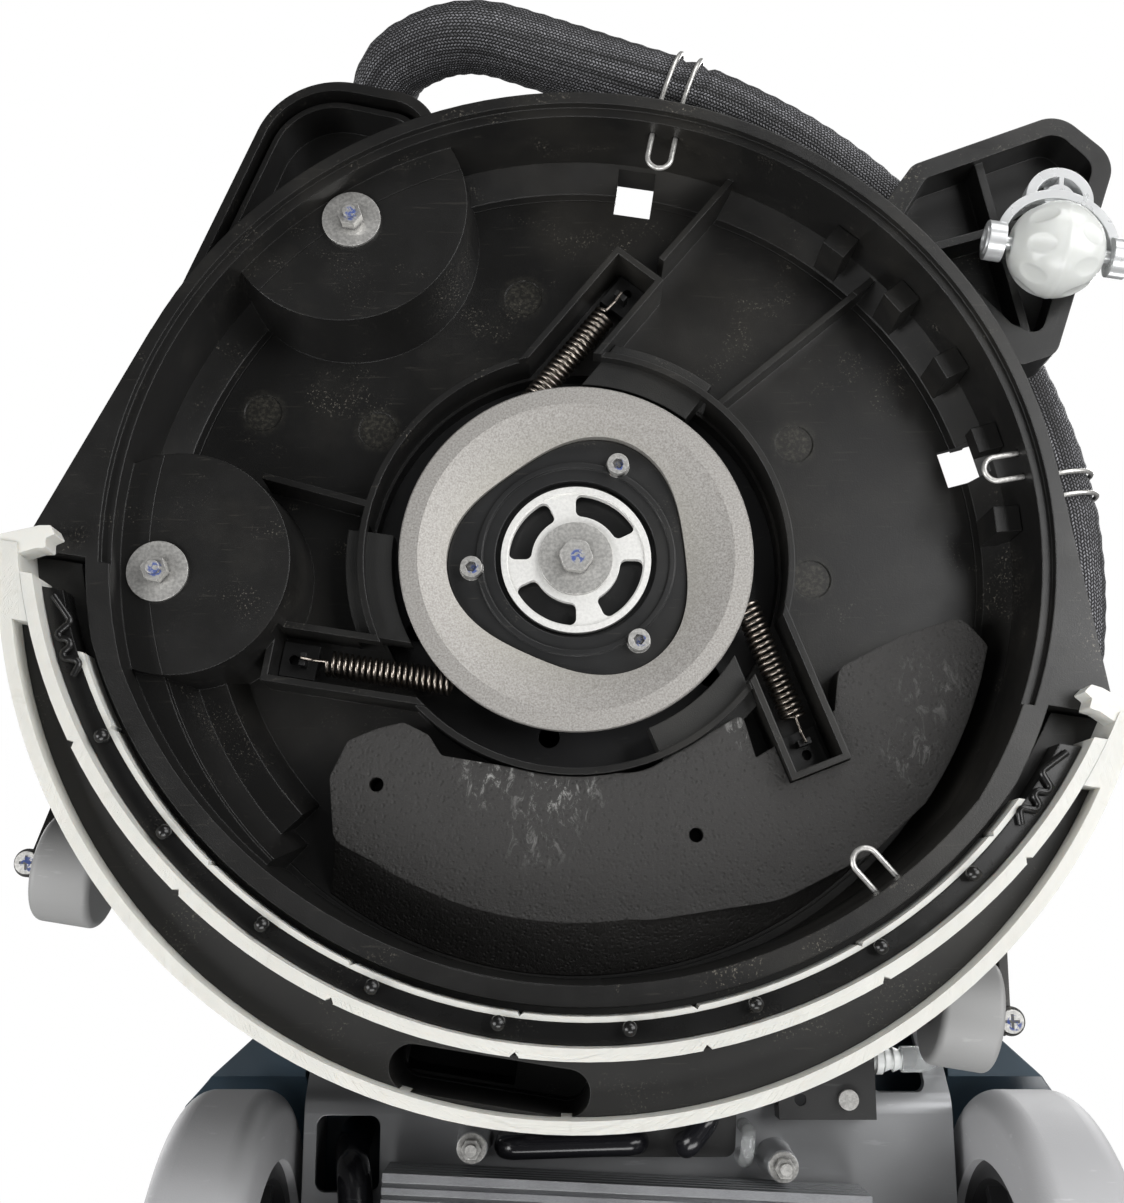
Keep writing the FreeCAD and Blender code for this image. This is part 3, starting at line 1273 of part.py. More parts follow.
def trigger_brackets():
    x, y, z = PIVOT
    level = z + 372
    brackets = []
    for side in (-1, 1):
        x0 = x + side * 141 - 4
        plate_shape = side_plate([(y - 22, level - 8), (y - 8, level - 8), (y + 6, z + 391),
                                  (y - 8, z + 399),
                                  (y - 24, level + 6)], [5, 4, 3, 3, 6], x0, x0 + 8)
        plate_shape = plate_shape.cut(cyl(13.02, 400, x - 200, y, z + 402, X_AXIS))
        plate_shape = plate_shape.cut(cyl(5.0 + RUN, 20, x0 - 5, y - 15, level, X_AXIS))
        brackets.append(along_handle(plate_shape))
    return brackets


# ---- assembly ----
DECK_NODES = {
    "deck_skirt": deck_skirt,
    "deck_housing": deck_housing,
    "ballast_plate": ballast_plate,
    "rubber_pads": rubber_pads,
    "spring_hook_plates": spring_hook_plates,
    "springs": springs,
    "pivot_fasteners": lambda: fender_washers() + pivot_bolts(),
    "hose_guide_cover": hose_guide_cover,
    "guide_arm": guide_arm,
    "guide_fork": guide_fork,
    "guide_ball": guide_ball,
    "squeegee_body": squeegee_body,
    "outer_blade": outer_blade,
    "inner_blade": inner_blade,
    "blade_strap": lambda: [blade_strap()] + end_clips(),
    "liner_strip": liner_strip,
    "suction_duct": suction_duct,
    "suction_hose": suction_hose,
    "hose_union": hose_union,
    "hose_clips": hose_clips,
    "roller_arms": roller_arms,
    "roller_fasteners": lambda: roller_pins() + roller_screws(),
    "roller_left": lambda: roller(-1),
    "roller_right": lambda: roller(1),
    "drive_ring": drive_ring,
    "drive_hub": drive_hub,
    "hub_screws": hub_screws,
    "drive_disc": drive_disc,
    "drive_shaft": lambda: [drive_shaft(), centre_washer(), centre_bolt()],
    "gearmotor": gearmotor,
    "turret_cap": turret_cap,
}

CHASSIS_NODES = {
    "swivel_arm": swivel_arm,
    "chassis_pan": chassis_pan,
    "chassis_fasteners": chassis_fasteners,
    "valve_bracket": valve_bracket,
    "barb_fitting": barb_fitting,
    "clear_hose": clear_hose,
    "drain_hoses": drain_hoses,
    "controller_box": controller_box,
    "axle": lambda: [axle()] + hub_caps(),
    "wheel_hub_left": lambda: wheel_hub(WHEEL_X[0]),
    "wheel_hub_right": lambda: wheel_hub(WHEEL_X[1]),
    "wheel_tyre_left": lambda: wheel_tyre(WHEEL_X[0]),
    "wheel_tyre_right": lambda: wheel_tyre(WHEEL_X[1]),
    "solution_tank": solution_tank,
    "battery_pack": battery_pack,
    "suction_riser": suction_riser,
    "handle_post": handle_post,
    "fold_pin": fold_pin,
    "recovery_tank": recovery_tank,
    "lid_hinge": lid_hinge,
    "tank_lid": tank_lid,
    "lid_window": lid_window,
    "handle_tube": handle_tube,
    "handle_loop": handle_loop,
    "handle_grips": handle_grips,
    "control_panel": lambda: [control_panel()] + trigger_brackets(),
    "power_button": power_button,
    "flow_knob": flow_knob,
    "trigger_bar": trigger_bar,
}


def as_shape(made):
    return Part.makeCompound(made) if isinstance(made, list) else made


def build():
    shapes = {}
    for name, make in DECK_NODES.items():
        shapes[name] = turned(as_shape(make()), DECK_YAW)
    for name, make in CHASSIS_NODES.items():
        shapes[name] = as_shape(make())
    return shapes


def export(shapes):
    os.makedirs("parts", exist_ok=True)
    whole = FreeCAD.BoundBox()
    for shape in shapes.values():
        whole.add(shape.optimalBoundingBox(False, False))
    shift = V(-(whole.XMin + whole.XMax) / 2, -(whole.YMin + whole.YMax) / 2, -whole.ZMin)
    print("size", round(whole.XLength, 2), round(whole.YLength, 2), round(whole.ZLength, 2))
    print("shift", [round(c, 3) for c in shift])
    for name, shape in shapes.items():
        placed = shape.copy()
        placed.translate(shift)
        solids = len(placed.Solids)
        print(name, "solids", solids, "valid", placed.isValid(), "volume", round(placed.Volume / 1000.0, 1))
        placed.exportStep("parts/" + name + ".step")


export(build())
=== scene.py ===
import json
import math

import bmesh
import bpy
from mathutils import Matrix, Vector


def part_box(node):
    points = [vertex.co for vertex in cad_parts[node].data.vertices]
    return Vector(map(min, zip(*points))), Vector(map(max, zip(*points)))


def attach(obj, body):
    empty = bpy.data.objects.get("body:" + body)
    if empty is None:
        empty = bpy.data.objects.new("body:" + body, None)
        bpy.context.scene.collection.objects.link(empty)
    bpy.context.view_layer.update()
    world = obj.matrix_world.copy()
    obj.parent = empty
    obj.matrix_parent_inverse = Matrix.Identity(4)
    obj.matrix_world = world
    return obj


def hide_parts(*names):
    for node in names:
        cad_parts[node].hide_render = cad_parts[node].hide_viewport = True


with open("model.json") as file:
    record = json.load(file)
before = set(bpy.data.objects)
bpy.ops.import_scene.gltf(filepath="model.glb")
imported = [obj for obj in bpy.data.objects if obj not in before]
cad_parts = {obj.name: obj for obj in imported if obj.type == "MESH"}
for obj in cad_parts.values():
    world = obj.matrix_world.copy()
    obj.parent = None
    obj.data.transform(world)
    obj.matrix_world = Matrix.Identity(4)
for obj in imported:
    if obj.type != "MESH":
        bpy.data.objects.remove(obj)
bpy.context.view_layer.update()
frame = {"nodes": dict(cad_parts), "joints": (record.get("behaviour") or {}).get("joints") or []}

NODES = frame["nodes"]
JOINT_AT = {j["name"]: Vector(j["pos_m"]) for j in frame["joints"] if "pos_m" in j}
HUB = Vector((JOINT_AT["deck_swivel"].x, JOINT_AT["deck_swivel"].y, 0))
DECK_YAW = math.radians(8.9)     # the deck rests turned this far
CAMERA_FROM_HUB = Vector((-0.0064, 0.1607, -0.5752))
CAMERA_TILT = math.radians(12.5)
LENS = 42.64


def at_deck(x, y, z):
    """A point given in millimetres in the deck's own frame."""
    c, s = math.cos(DECK_YAW), math.sin(DECK_YAW)
    return HUB + Vector((c * x - s * y, s * x + c * y, z)) / 1000


# ---- shader helpers ----
class Paint:
    """One node material: a Principled shader and short calls that add nodes to it."""

    def __init__(self, name, colour, roughness, metallic=0.0, **sockets):
        self.material = bpy.data.materials.new(name)
        self.material.use_nodes = True
        self.tree = self.material.node_tree
        self.shader = self.tree.nodes["Principled BSDF"]
        self.shader.inputs["Base Color"].default_value = (*colour, 1)
        self.shader.inputs["Roughness"].default_value = roughness
        self.shader.inputs["Metallic"].default_value = metallic
        for socket, value in sockets.items():
            self.shader.inputs[socket.replace("_", " ")].default_value = value
        self.coords = self.tree.nodes.new("ShaderNodeTexCoord").outputs["Object"]
        self.normal = None
        self.toned = None

    def link(self, source, target):
        self.tree.links.new(source, target)

    def stretch(self, scale, turn=(0, 0, 0)):
        mapping = self.tree.nodes.new("ShaderNodeMapping")
        mapping.inputs["Scale"].default_value = scale
        mapping.inputs["Rotation"].default_value = turn
        self.link(self.coords, mapping.inputs["Vector"])
        return mapping.outputs["Vector"]

    def noise(self, scale, detail=4.0, rough=0.55, vector=None, warp=0.0):
        node = self.tree.nodes.new("ShaderNodeTexNoise")
        node.inputs["Scale"].default_value = scale
        node.inputs["Detail"].default_value = detail
        node.inputs["Roughness"].default_value = rough
        node.inputs["Distortion"].default_value = warp
        self.link(vector or self.coords, node.inputs["Vector"])
        return node.outputs["Fac"]

    def cells(self, scale, vector=None, feature="F1"):
        node = self.tree.nodes.new("ShaderNodeTexVoronoi")
        node.feature = feature
        node.inputs["Scale"].default_value = scale
        self.link(vector or self.coords, node.inputs["Vector"])
        return node.outputs["Distance"]

    def ramp(self, value, *stops):
        """Stops are (position, grey or colour)."""
        node = self.tree.nodes.new("ShaderNodeValToRGB")
        while len(node.color_ramp.elements) < len(stops):
            node.color_ramp.elements.new(0.5)
        for element, (place, colour) in zip(node.color_ramp.elements, stops):
            element.position = place
            element.color = (*colour, 1) if isinstance(colour, tuple) else (colour, colour, colour, 1)
        self.link(value, node.inputs["Fac"])
        return node.outputs["Color"]

    def maths(self, operation, a, b=0.0):
        node = self.tree.nodes.new("ShaderNodeMath")
        node.operation = operation
        for socket, value in zip(node.inputs, (a, b)):
            if isinstance(value, float):
                socket.default_value = value
            else:
                self.link(value, socket)
        return node.outputs["Value"]

    def mix(self, share, a, b, kind="MIX"):
        node = self.tree.nodes.new("ShaderNodeMix")
        node.data_type = "RGBA"
        node.blend_type = kind
        for socket, value in zip((node.inputs[0], node.inputs[6], node.inputs[7]), (share, a, b)):
            if isinstance(value, tuple):
                socket.default_value = (*value, 1)
            elif isinstance(value, float):
                socket.default_value = value
            else:
                self.link(value, socket)
        return node.outputs[2]

    def colour(self, source):
        self.toned = source
        self.link(source, self.shader.inputs["Base Color"])

    def round_edges(self, radius):
        """Lets moulded edges catch the light. Radius in millimetres."""
        node = self.tree.nodes.new("ShaderNodeBevel")
        node.samples = 4
        node.inputs["Radius"].default_value = radius / 1000
        self.normal = node.outputs["Normal"]
        self.link(self.normal, self.shader.inputs["Normal"])

    def roughness(self, source, low, high):
        node = self.tree.nodes.new("ShaderNodeMapRange")
        node.inputs["To Min"].default_value = low
        node.inputs["To Max"].default_value = high
        self.link(source, node.inputs["Value"])
        self.link(node.outputs["Result"], self.shader.inputs["Roughness"])

    def bump(self, height, depth, strength=1.0):
        """Depth in millimetres. Each call lies on the one before."""
        node = self.tree.nodes.new("ShaderNodeBump")
        node.inputs["Distance"].default_value = depth / 1000
        node.inputs["Strength"].default_value = strength
        self.link(height, node.inputs["Height"])
        if self.normal:
            self.link(self.normal, node.inputs["Normal"])
        self.normal = node.outputs["Normal"]
        self.link(self.normal, self.shader.inputs["Normal"])

    def spot(self, centre, radius, soft=0.3):
        """1 inside a ball round a point, 0 outside."""
        away = self.tree.nodes.new("ShaderNodeVectorMath")
        away.operation = "DISTANCE"
        self.link(self.coords, away.inputs[0])
        away.inputs[1].default_value = centre
        near = self.tree.nodes.new("ShaderNodeMapRange")
        near.inputs["From Min"].default_value = radius
        near.inputs["From Max"].default_value = radius * (1 - soft)
        self.link(away.outputs["Value"], near.inputs["Value"])
        return near.outputs["Result"]

    def corner_shade(self, reach):
        """Painted shade from ambient occlusion: 0 in tight corners, 1 in the open. Reach in millimetres."""
        node = self.tree.nodes.new("ShaderNodeAmbientOcclusion")
        node.samples = 4
        node.inputs["Distance"].default_value = reach / 1000
        return node.outputs["AO"]

    def cross(self, centre, reach, width):
        """1 inside an upright cross round a point seen along Z, such as a screw's recess."""
        away = self.tree.nodes.new("ShaderNodeVectorMath")
        away.operation = "SUBTRACT"
        self.link(self.coords, away.inputs[0])
        away.inputs[1].default_value = centre
        size = self.tree.nodes.new("ShaderNodeVectorMath")
        size.operation = "ABSOLUTE"
        self.link(away.outputs["Vector"], size.inputs[0])
        split = self.tree.nodes.new("ShaderNodeSeparateXYZ")
        self.link(size.outputs["Vector"], split.inputs["Vector"])
        bars = []
        for long_way, short_way in (("X", "Y"), ("Y", "X")):
            near_end = self.maths("LESS_THAN", split.outputs[long_way], reach)
            near_line = self.maths("LESS_THAN", split.outputs[short_way], width)
            bars.append(self.maths("MULTIPLY", near_end, near_line))
        return self.greatest(bars)

    def greatest(self, values):
        """The largest of several values."""
        largest = values[0]
        for value in values[1:]:
            largest = self.maths("MAXIMUM", largest, value)
        return largest


def dusty_black(name, base, roughness, dust=0.5, grain=0.05, scratches=0.35, **sockets):
    """Satin black moulding: fine grain, dust in patches, specks and hair scratches."""
    paint = Paint(name, base, roughness, **sockets)
    paint.round_edges(0.8)
    cloud = paint.ramp(paint.noise(9, 6, 0.62), (0.50, 0.0), (0.72, 1.0))
    specks = paint.ramp(paint.noise(900, 2, 0.7), (0.60, 0.0), (0.68, 1.0))
    patch = paint.ramp(paint.noise(26, 5, 0.6, warp=0.6), (0.56, 0.0), (0.70, 1.0))
    lines = paint.noise(60, 3, 0.5, paint.stretch((1, 14, 3), (0, 0, 0.6)))
    hair = paint.ramp(lines, (0.66, 0.0), (0.70, 1.0))
    dusting = paint.maths("MULTIPLY", paint.maths("MULTIPLY", specks, patch), dust)
    veil = paint.maths("MULTIPLY", cloud, 0.10 * dust)
    marks = paint.maths("MULTIPLY", hair, 0.10 * scratches)
    lighter = tuple(min(1.0, c * 4 + 0.13) for c in base)
    warm = (lighter[0] * 1.1, lighter[1] * 1.02, lighter[2] * 0.86)
    total = paint.maths("MINIMUM", paint.maths("ADD", paint.maths("ADD", dusting, veil), marks), 1.0)
    paint.colour(paint.mix(total, base, warm))
    paint.roughness(paint.noise(40, 5, 0.6), roughness - 0.10, roughness + 0.14)
    paint.bump(paint.noise(1600, 2, 0.6), grain)
    paint.bump(paint.noise(18, 3, 0.5), 0.35, 0.5)
    return paint


def metal(name, colour, roughness, speckle=0.12, grain=0.02, brushed=(1, 1, 1), **sockets):
    """Metal with fine tone changes, small marks and a grain that may run one way."""
    paint = Paint(name, colour, roughness, 1.0, **sockets)
    paint.round_edges(0.35)
    fine = paint.noise(700, 3, 0.6, paint.stretch(brushed))
    broad = paint.noise(30, 4, 0.6)
    dark = tuple(c * (1 - speckle * 2.2) for c in colour)
    tone = paint.mix(paint.ramp(fine, (0.38, 0.0), (0.62, 1.0)), dark, colour)
    stain = paint.ramp(broad, (0.55, 0.0), (0.75, 0.35))
    paint.colour(paint.mix(stain, tone, tuple(c * 0.72 for c in colour)))
    paint.roughness(broad, roughness - 0.07, roughness + 0.12)
    paint.bump(fine, grain)
    return paint


def moulded(name, colour, roughness, grain=0.03, shade=0.85, **sockets):
    """Plain moulded plastic or paint with slight tone drift and handling marks."""
    paint = Paint(name, colour, roughness, **sockets)
    paint.round_edges(0.6)
    drift = paint.ramp(paint.noise(7, 5, 0.6), (0.35, 0.0), (0.70, 1.0))
    lines = paint.noise(45, 4, 0.6, paint.stretch((1, 6, 2), (0, 0, 0.4)))
    rubs = paint.ramp(lines, (0.64, 0.0), (0.70, 0.22))
    toned = paint.mix(drift, tuple(c * shade for c in colour), colour)
    paint.colour(paint.mix(rubs, toned, tuple(min(1.0, c * 1.5 + 0.06) for c in colour)))
    paint.roughness(paint.noise(34, 5, 0.6), roughness - 0.06, roughness + 0.12)
    paint.bump(paint.noise(1500, 2, 0.6), grain)
    return paint


# ---- materials ----
CEILING_Z = 74.0                 # places in the deck's own frame, in millimetres
CASTING_Z = 54.0
EJECTOR_MARKS = [(-160, -52), (-104, -52), (-46, -130), (94, -76), (110, -11)]
SCUFFS = [(-22, 103, 0.020, 0.9), (8, 106, 0.024, 1.0), (2, 122, 0.022, 0.5), (166, 34, 0.020, 0.35),
          (160, 66, 0.018, 0.4), (84, 66, 0.012, 0.7)]   # x, y, reach in metres, strength
ROLLER_X, ROLLER_Y, ROLLER_SCREW_Z = 190.5, 172.5, 37.0
LUG_OUT = 18.5                   # from a roller's middle to the screws at its sides
SCREW_CIRCLE_R = 48.0
SCREW_LUGS = [(side * (ROLLER_X + face * LUG_OUT), ROLLER_Y, ROLLER_SCREW_Z)
              for side in (-1, 1) for face in (-1, 1)]
NUTS = [(-126.2, -136.0, 22), (-178.7, 41.4, 22), (0.0, 0.0, 51.5)]
HUB_SCREWS = [(SCREW_CIRCLE_R * math.cos(math.radians(a)), SCREW_CIRCLE_R * math.sin(math.radians(a)), 53)
              for a in (45, 165, 285)]


def deck_black():
    """The deck's moulding, with paler dust gathered in and round the five round ejector marks."""
    paint = dusty_black("deck_black", (0.0075, 0.0073, 0.0070), 0.34, 0.9, 0.05, 0.6)
    place = paint.greatest([paint.spot(at_deck(x, y, CEILING_Z), 0.0125, 0.5) for x, y in EJECTOR_MARKS])
    grit = paint.ramp(paint.noise(520, 5, 0.75), (0.46, 0.0), (0.66, 1.0))
    dust = paint.maths("MULTIPLY", place, paint.maths("ADD", paint.maths("MULTIPLY", grit, 0.30), 0.05))
    paint.colour(paint.mix(dust, paint.toned, (0.16, 0.15, 0.12)))
    return paint


def strap_black():
    return dusty_black("strap_black", (0.006, 0.006, 0.006), 0.24, 0.35, 0.02, 0.3)


def gap_black():
    return dusty_black("squeegee_black", (0.011, 0.0108, 0.0102), 0.46, 0.6, 0.03, 0.6)


def rubber_black():
    return dusty_black("pad_rubber", (0.010, 0.010, 0.0095), 0.50, 0.8, 0.10, 0.2)


def hub_black():
    return dusty_black("hub_black", (0.012, 0.0122, 0.0125), 0.34, 0.5, 0.04, 0.8)


def casting_black():
    """Sand casting: pores, painted glints and chipped, scuffed zones along its upper edge and right end."""
    paint = Paint("rough_casting", (0.016, 0.015, 0.0145), 0.5)
    paint.round_edges(0.9)
    pores = paint.ramp(paint.cells(420), (0.10, 0.0), (0.42, 1.0))
    sand = paint.noise(620, 6, 0.75)
    # painted highlight: tiny pale specks in the colour stand in for glints off the casting
    painted_glints = paint.ramp(paint.noise(1500, 2, 0.8), (0.66, 0.0), (0.71, 1.0))
    zones = []
    for x, y, reach, share in SCUFFS:
        zones.append(paint.maths("MULTIPLY", paint.spot(at_deck(x, y, CASTING_Z), reach, 0.9), share))
    flakes = paint.noise(210, 7, 0.78, paint.stretch((1, 0.45, 1)), 0.8)
    scuffs = paint.maths("MULTIPLY", paint.ramp(flakes, (0.53, 0.0), (0.64, 1.0)), paint.greatest(zones))
    base = paint.mix(sand, (0.0075, 0.007, 0.0065), (0.030, 0.028, 0.026))
    with_painted_glints = paint.mix(paint.maths("MULTIPLY", painted_glints, 0.30), base, (0.22, 0.21, 0.19))
    paint.colour(paint.mix(paint.maths("MULTIPLY", scuffs, 0.8), with_painted_glints, (0.40, 0.40, 0.385)))
    paint.roughness(sand, 0.34, 0.66)
    paint.bump(sand, 0.8, 0.8)
    paint.bump(pores, 0.35, 0.7)
    paint.bump(paint.noise(60, 4, 0.6), 1.6, 0.6)
    return paint


def blade_rubber():
    """Milky blade rubber, greyed in patches."""
    tone = (0.66, 0.655, 0.615)
    paint = Paint("blade_rubber", tone, 0.33, Subsurface_Weight=0.25, Specular_IOR_Level=0.55)
    paint.shader.inputs["Subsurface Radius"].default_value = (0.006, 0.005, 0.004)
    paint.shader.inputs["Subsurface Scale"].default_value = 1.0
    broad = paint.ramp(paint.noise(14, 4, 0.6), (0.35, 0.0), (0.7, 1.0))
    grime = paint.ramp(paint.noise(70, 6, 0.7, warp=0.8), (0.60, 0.0), (0.78, 0.55))
    toned = paint.mix(broad, tuple(c * 0.93 for c in tone), tone)
    paint.colour(paint.mix(grime, toned, (0.48, 0.465, 0.41)))
    paint.roughness(paint.noise(50, 4, 0.6), 0.26, 0.46)
    paint.bump(paint.noise(220, 4, 0.6), 0.06)
    return paint


def ring_blasted():
    """Blasted plate, with browner painted shade near its hole and nicked along its rim."""
    colour = (0.47, 0.455, 0.435)
    paint = Paint("blasted_plate", colour, 0.52, 0.7)
    peen = paint.noise(1100, 3, 0.7)
    cells = paint.cells(900)
    tone = paint.mix(paint.ramp(peen, (0.36, 0.0), (0.64, 1.0)), (0.31, 0.295, 0.275), colour)
    soot = paint.ramp(paint.noise(150, 5, 0.7), (0.66, 0.0), (0.72, 1.0))
    flat = paint.tree.nodes.new("ShaderNodeVectorMath")
    flat.operation = "MULTIPLY"
    flat.inputs[1].default_value = (1, 1, 0)
    paint.link(paint.coords, flat.inputs[0])
    from_hub = paint.tree.nodes.new("ShaderNodeVectorMath")
    from_hub.operation = "DISTANCE"
    paint.link(flat.outputs["Vector"], from_hub.inputs[0])
    from_hub.inputs[1].default_value = HUB
    edge = paint.ramp(from_hub.outputs["Value"], (0.0765, 0.0), (0.0800, 1.0))
    # painted shade: the plate is painted darker and browner towards its hole
    hole_shade = paint.ramp(from_hub.outputs["Value"], (0.050, 1.0), (0.066, 0.0))
    dings = paint.maths("MULTIPLY", soot, edge)
    shaded = paint.mix(paint.maths("MULTIPLY", hole_shade, 0.35), tone, (0.34, 0.33, 0.28))
    paint.colour(paint.mix(paint.maths("MULTIPLY", dings, 0.85), shaded, (0.03, 0.028, 0.026)))
    paint.roughness(peen, 0.42, 0.66)
    paint.bump(peen, 0.10, 0.8)
    paint.bump(cells, 0.05, 0.6)
    return paint


def zinc():
    """Plated fasteners, most with a dab of blue marking paint on the end, the roller screws cross-headed.
    Painted shade darkens their tight corners and the roller screws' cross recesses.
    """
    paint = metal("zinc_plate", (0.68, 0.67, 0.645), 0.34, 0.14, 0.02)
    dabs = []
    for spots, reach in ((SCREW_LUGS, 0.0034), (NUTS, 0.0036), (HUB_SCREWS, 0.0030)):
        for x, y, z in spots:
            dabs.append(paint.spot(at_deck(x + 0.8, y + 0.5, z), reach, 0.2))
    ragged = paint.ramp(paint.noise(420, 3, 0.6, warp=0.6), (0.47, 0.0), (0.52, 1.0))
    dab = paint.maths("MULTIPLY", paint.greatest(dabs), ragged)
    # painted shade: the cross recesses of the roller screws are painted near black, on top of their bump
    recess = paint.greatest([paint.cross(at_deck(*place), 0.0030, 0.0006) for place in SCREW_LUGS])
    # painted shade: the plating is painted near black in tight corners, such as where a nut meets its washer
    open_face = paint.ramp(paint.corner_shade(3.0), (0.35, 0.0), (0.85, 1.0))
    shaded = paint.mix(open_face, (0.05, 0.05, 0.05), paint.toned)
    with_recess_shade = paint.mix(paint.maths("MULTIPLY", recess, 0.85), shaded, (0.03, 0.03, 0.03))
    paint.colour(paint.mix(paint.maths("MULTIPLY", dab, 0.9), with_recess_shade, (0.012, 0.045, 0.22)))
    bare = paint.maths("SUBTRACT", 1.0, dab)
    paint.link(paint.maths("MULTIPLY", bare, 0.7), paint.shader.inputs["Metallic"])
    paint.bump(paint.maths("SUBTRACT", 1.0, recess), 1.2)
    return paint


def disc_silver():
    paint = metal("turned_aluminium", (0.84, 0.835, 0.81), 0.36, 0.05, 0.01, (1, 1, 8))
    paint.shader.inputs["Metallic"].default_value = 0.35
    return paint


def spring_steel():
    return metal("spring_steel", (0.36, 0.32, 0.28), 0.26, 0.18, 0.02)


def dark_steel():
    return moulded("painted_steel", (0.022, 0.022, 0.022), 0.42, 0.06)


def fork_silver():
    return moulded("fork_grey", (0.66, 0.67, 0.675), 0.24, 0.01, 0.94, Metallic=0.45)


def roller_grey():
    return moulded("roller_rubber", (0.29, 0.29, 0.287), 0.48, 0.05, 0.90)


def tyre_grey():
    return moulded("tyre_rubber", (0.44, 0.44, 0.45), 0.50, 0.06, 0.92)


def wheel_black():
    return moulded("wheel_centre", (0.022, 0.022, 0.023), 0.34, 0.04)


def pan_paint():
    return moulded("pan_paint", (0.40, 0.405, 0.415), 0.30, 0.02, 0.88, Metallic=0.6)


def extrusion():
    return metal("ribbed_extrusion", (0.40, 0.405, 0.42), 0.36, 0.10, 0.03, (1, 12, 12))


def tank_slate():
    return moulded("tank_slate", (0.034, 0.058, 0.080), 0.28, 0.05, 0.80)


def tank_upper():
    return moulded("tank_upper", (0.150, 0.158, 0.165), 0.36, 0.08, 0.90)


def frame_slate():
    return moulded("frame_coat", (0.050, 0.058, 0.066), 0.38, 0.05, 0.88)


def panel_black():
    return moulded("panel_black", (0.022, 0.0225, 0.023), 0.40, 0.06)


def hose_gloss():
    return moulded("drain_hose", (0.010, 0.010, 0.012), 0.16, 0.005)


def clear_tube():
    return moulded("clear_tube", (0.80, 0.82, 0.82), 0.16, 0.004, 0.97, Transmission_Weight=0.75, IOR=1.38)


def white_plastic():
    return moulded("white_fitting", (0.76, 0.775, 0.76), 0.30, 0.01, 0.96)


def clear_ball():
    paint = moulded("milky_ball", (0.86, 0.875, 0.85), 0.16, 0.004, 0.97, Transmission_Weight=0.35, IOR=1.45,
                    Subsurface_Weight=0.5)
    paint.shader.inputs["Subsurface Radius"].default_value = (0.004, 0.004, 0.0038)
    paint.shader.inputs["Subsurface Scale"].default_value = 1.0
    return paint


def window_clear():
    return moulded("clear_window", (0.70, 0.74, 0.76), 0.08, 0.003, 0.98, Transmission_Weight=0.92, IOR=1.45)


def motor_black():
    return moulded("motor_paint", (0.020, 0.020, 0.021), 0.34, 0.04)


def button_green():
    return moulded("button_green", (0.020, 0.300, 0.110), 0.28, 0.01)


def lever_red():
    return moulded("lever_red", (0.420, 0.022, 0.018), 0.30, 0.02)


FINISHES = {
    deck_black: ["deck_housing", "deck_skirt", "guide_arm", "hose_guide_cover", "roller_arms", "turret_cap",
                 "suction_duct", "hose_union"],
    strap_black: ["blade_strap"],
    gap_black: ["squeegee_body"],
    rubber_black: ["rubber_pads", "handle_grips"],
    hub_black: ["drive_hub"],
    casting_black: ["ballast_plate"],
    blade_rubber: ["outer_blade", "inner_blade", "liner_strip"],
    ring_blasted: ["drive_ring"],
    zinc: ["pivot_fasteners", "hub_screws", "roller_fasteners", "chassis_fasteners", "hose_clips",
           "drive_shaft", "axle", "fold_pin", "lid_hinge"],
    disc_silver: ["drive_disc"],
    spring_steel: ["springs"],
    dark_steel: ["spring_hook_plates", "valve_bracket", "swivel_arm"],
    fork_silver: ["guide_fork"],
    roller_grey: ["roller_left", "roller_right"],
    tyre_grey: ["wheel_tyre_left", "wheel_tyre_right"],
    wheel_black: ["wheel_hub_left", "wheel_hub_right", "suction_riser", "battery_pack"],
    pan_paint: ["chassis_pan"],
    extrusion: ["controller_box"],
    tank_slate: ["solution_tank"],
    tank_upper: ["recovery_tank", "tank_lid"],
    frame_slate: ["handle_post", "handle_tube", "handle_loop"],
    panel_black: ["control_panel", "flow_knob"],
    hose_gloss: ["drain_hoses", "suction_hose"],
    clear_tube: ["clear_hose"],
    white_plastic: ["barb_fitting"],
    clear_ball: ["guide_ball"],
    window_clear: ["lid_window"],
    motor_black: ["gearmotor"],
    button_green: ["power_button"],
    lever_red: ["trigger_bar"],
}


def paint_nodes():
    for make, names in FINISHES.items():
        material = make().material
        for name in names:
            data = NODES[name].data
            data.materials.clear()
            data.materials.append(material)


# ---- new pieces ----
def finish_piece(name, data, material, body, slot, *stands_for):
    """Links a mesh as a piece of the object that rides on a body and stands for CAD nodes."""
    piece = bpy.data.objects.new(name, data)
    bpy.context.scene.collection.objects.link(piece)
    data.materials.append(material)
    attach(piece, body)
    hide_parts(*stands_for)


def smooth(data):
    for face in data.polygons:
        face.use_smooth = True


# The mesh's own sizes are in metres. The route is in the deck's frame, in millimetres.
HOSE_R = 0.0185
HOSE_STEP = 0.003                # from one ring of the mesh to the next
HOSE_SIDES = 72
STITCH = 0.0018                  # one stitch of the sleeve along the hose
STITCH_ROWS = 68.0
CLIP_PITCH = 0.0055              # from a clip's middle to each of its two wires
HOSE_Z = 97.0
RIM_RUN = 238.0                  # the two runs meet this far from the hub
RUN_MEETS = math.radians(-20)
HOSE_RUNS = ((224.0, 90, -20), (290.0, -22, -80))   # radius, first and last angle
HOSE_STRAIGHT = 108.0
FIRST_BEND = 70.0
HOSE_CLIMB = ((-154, -272, 128), (-132, -218, 180), (-57, -98, 236), (-25.5, -44, 236))
CLIMB_BENDS = (36.0, 140.0, 80.0)
CLIP_AT = (3.0, 71.0)            # clip angles round the deck, clockwise from its front


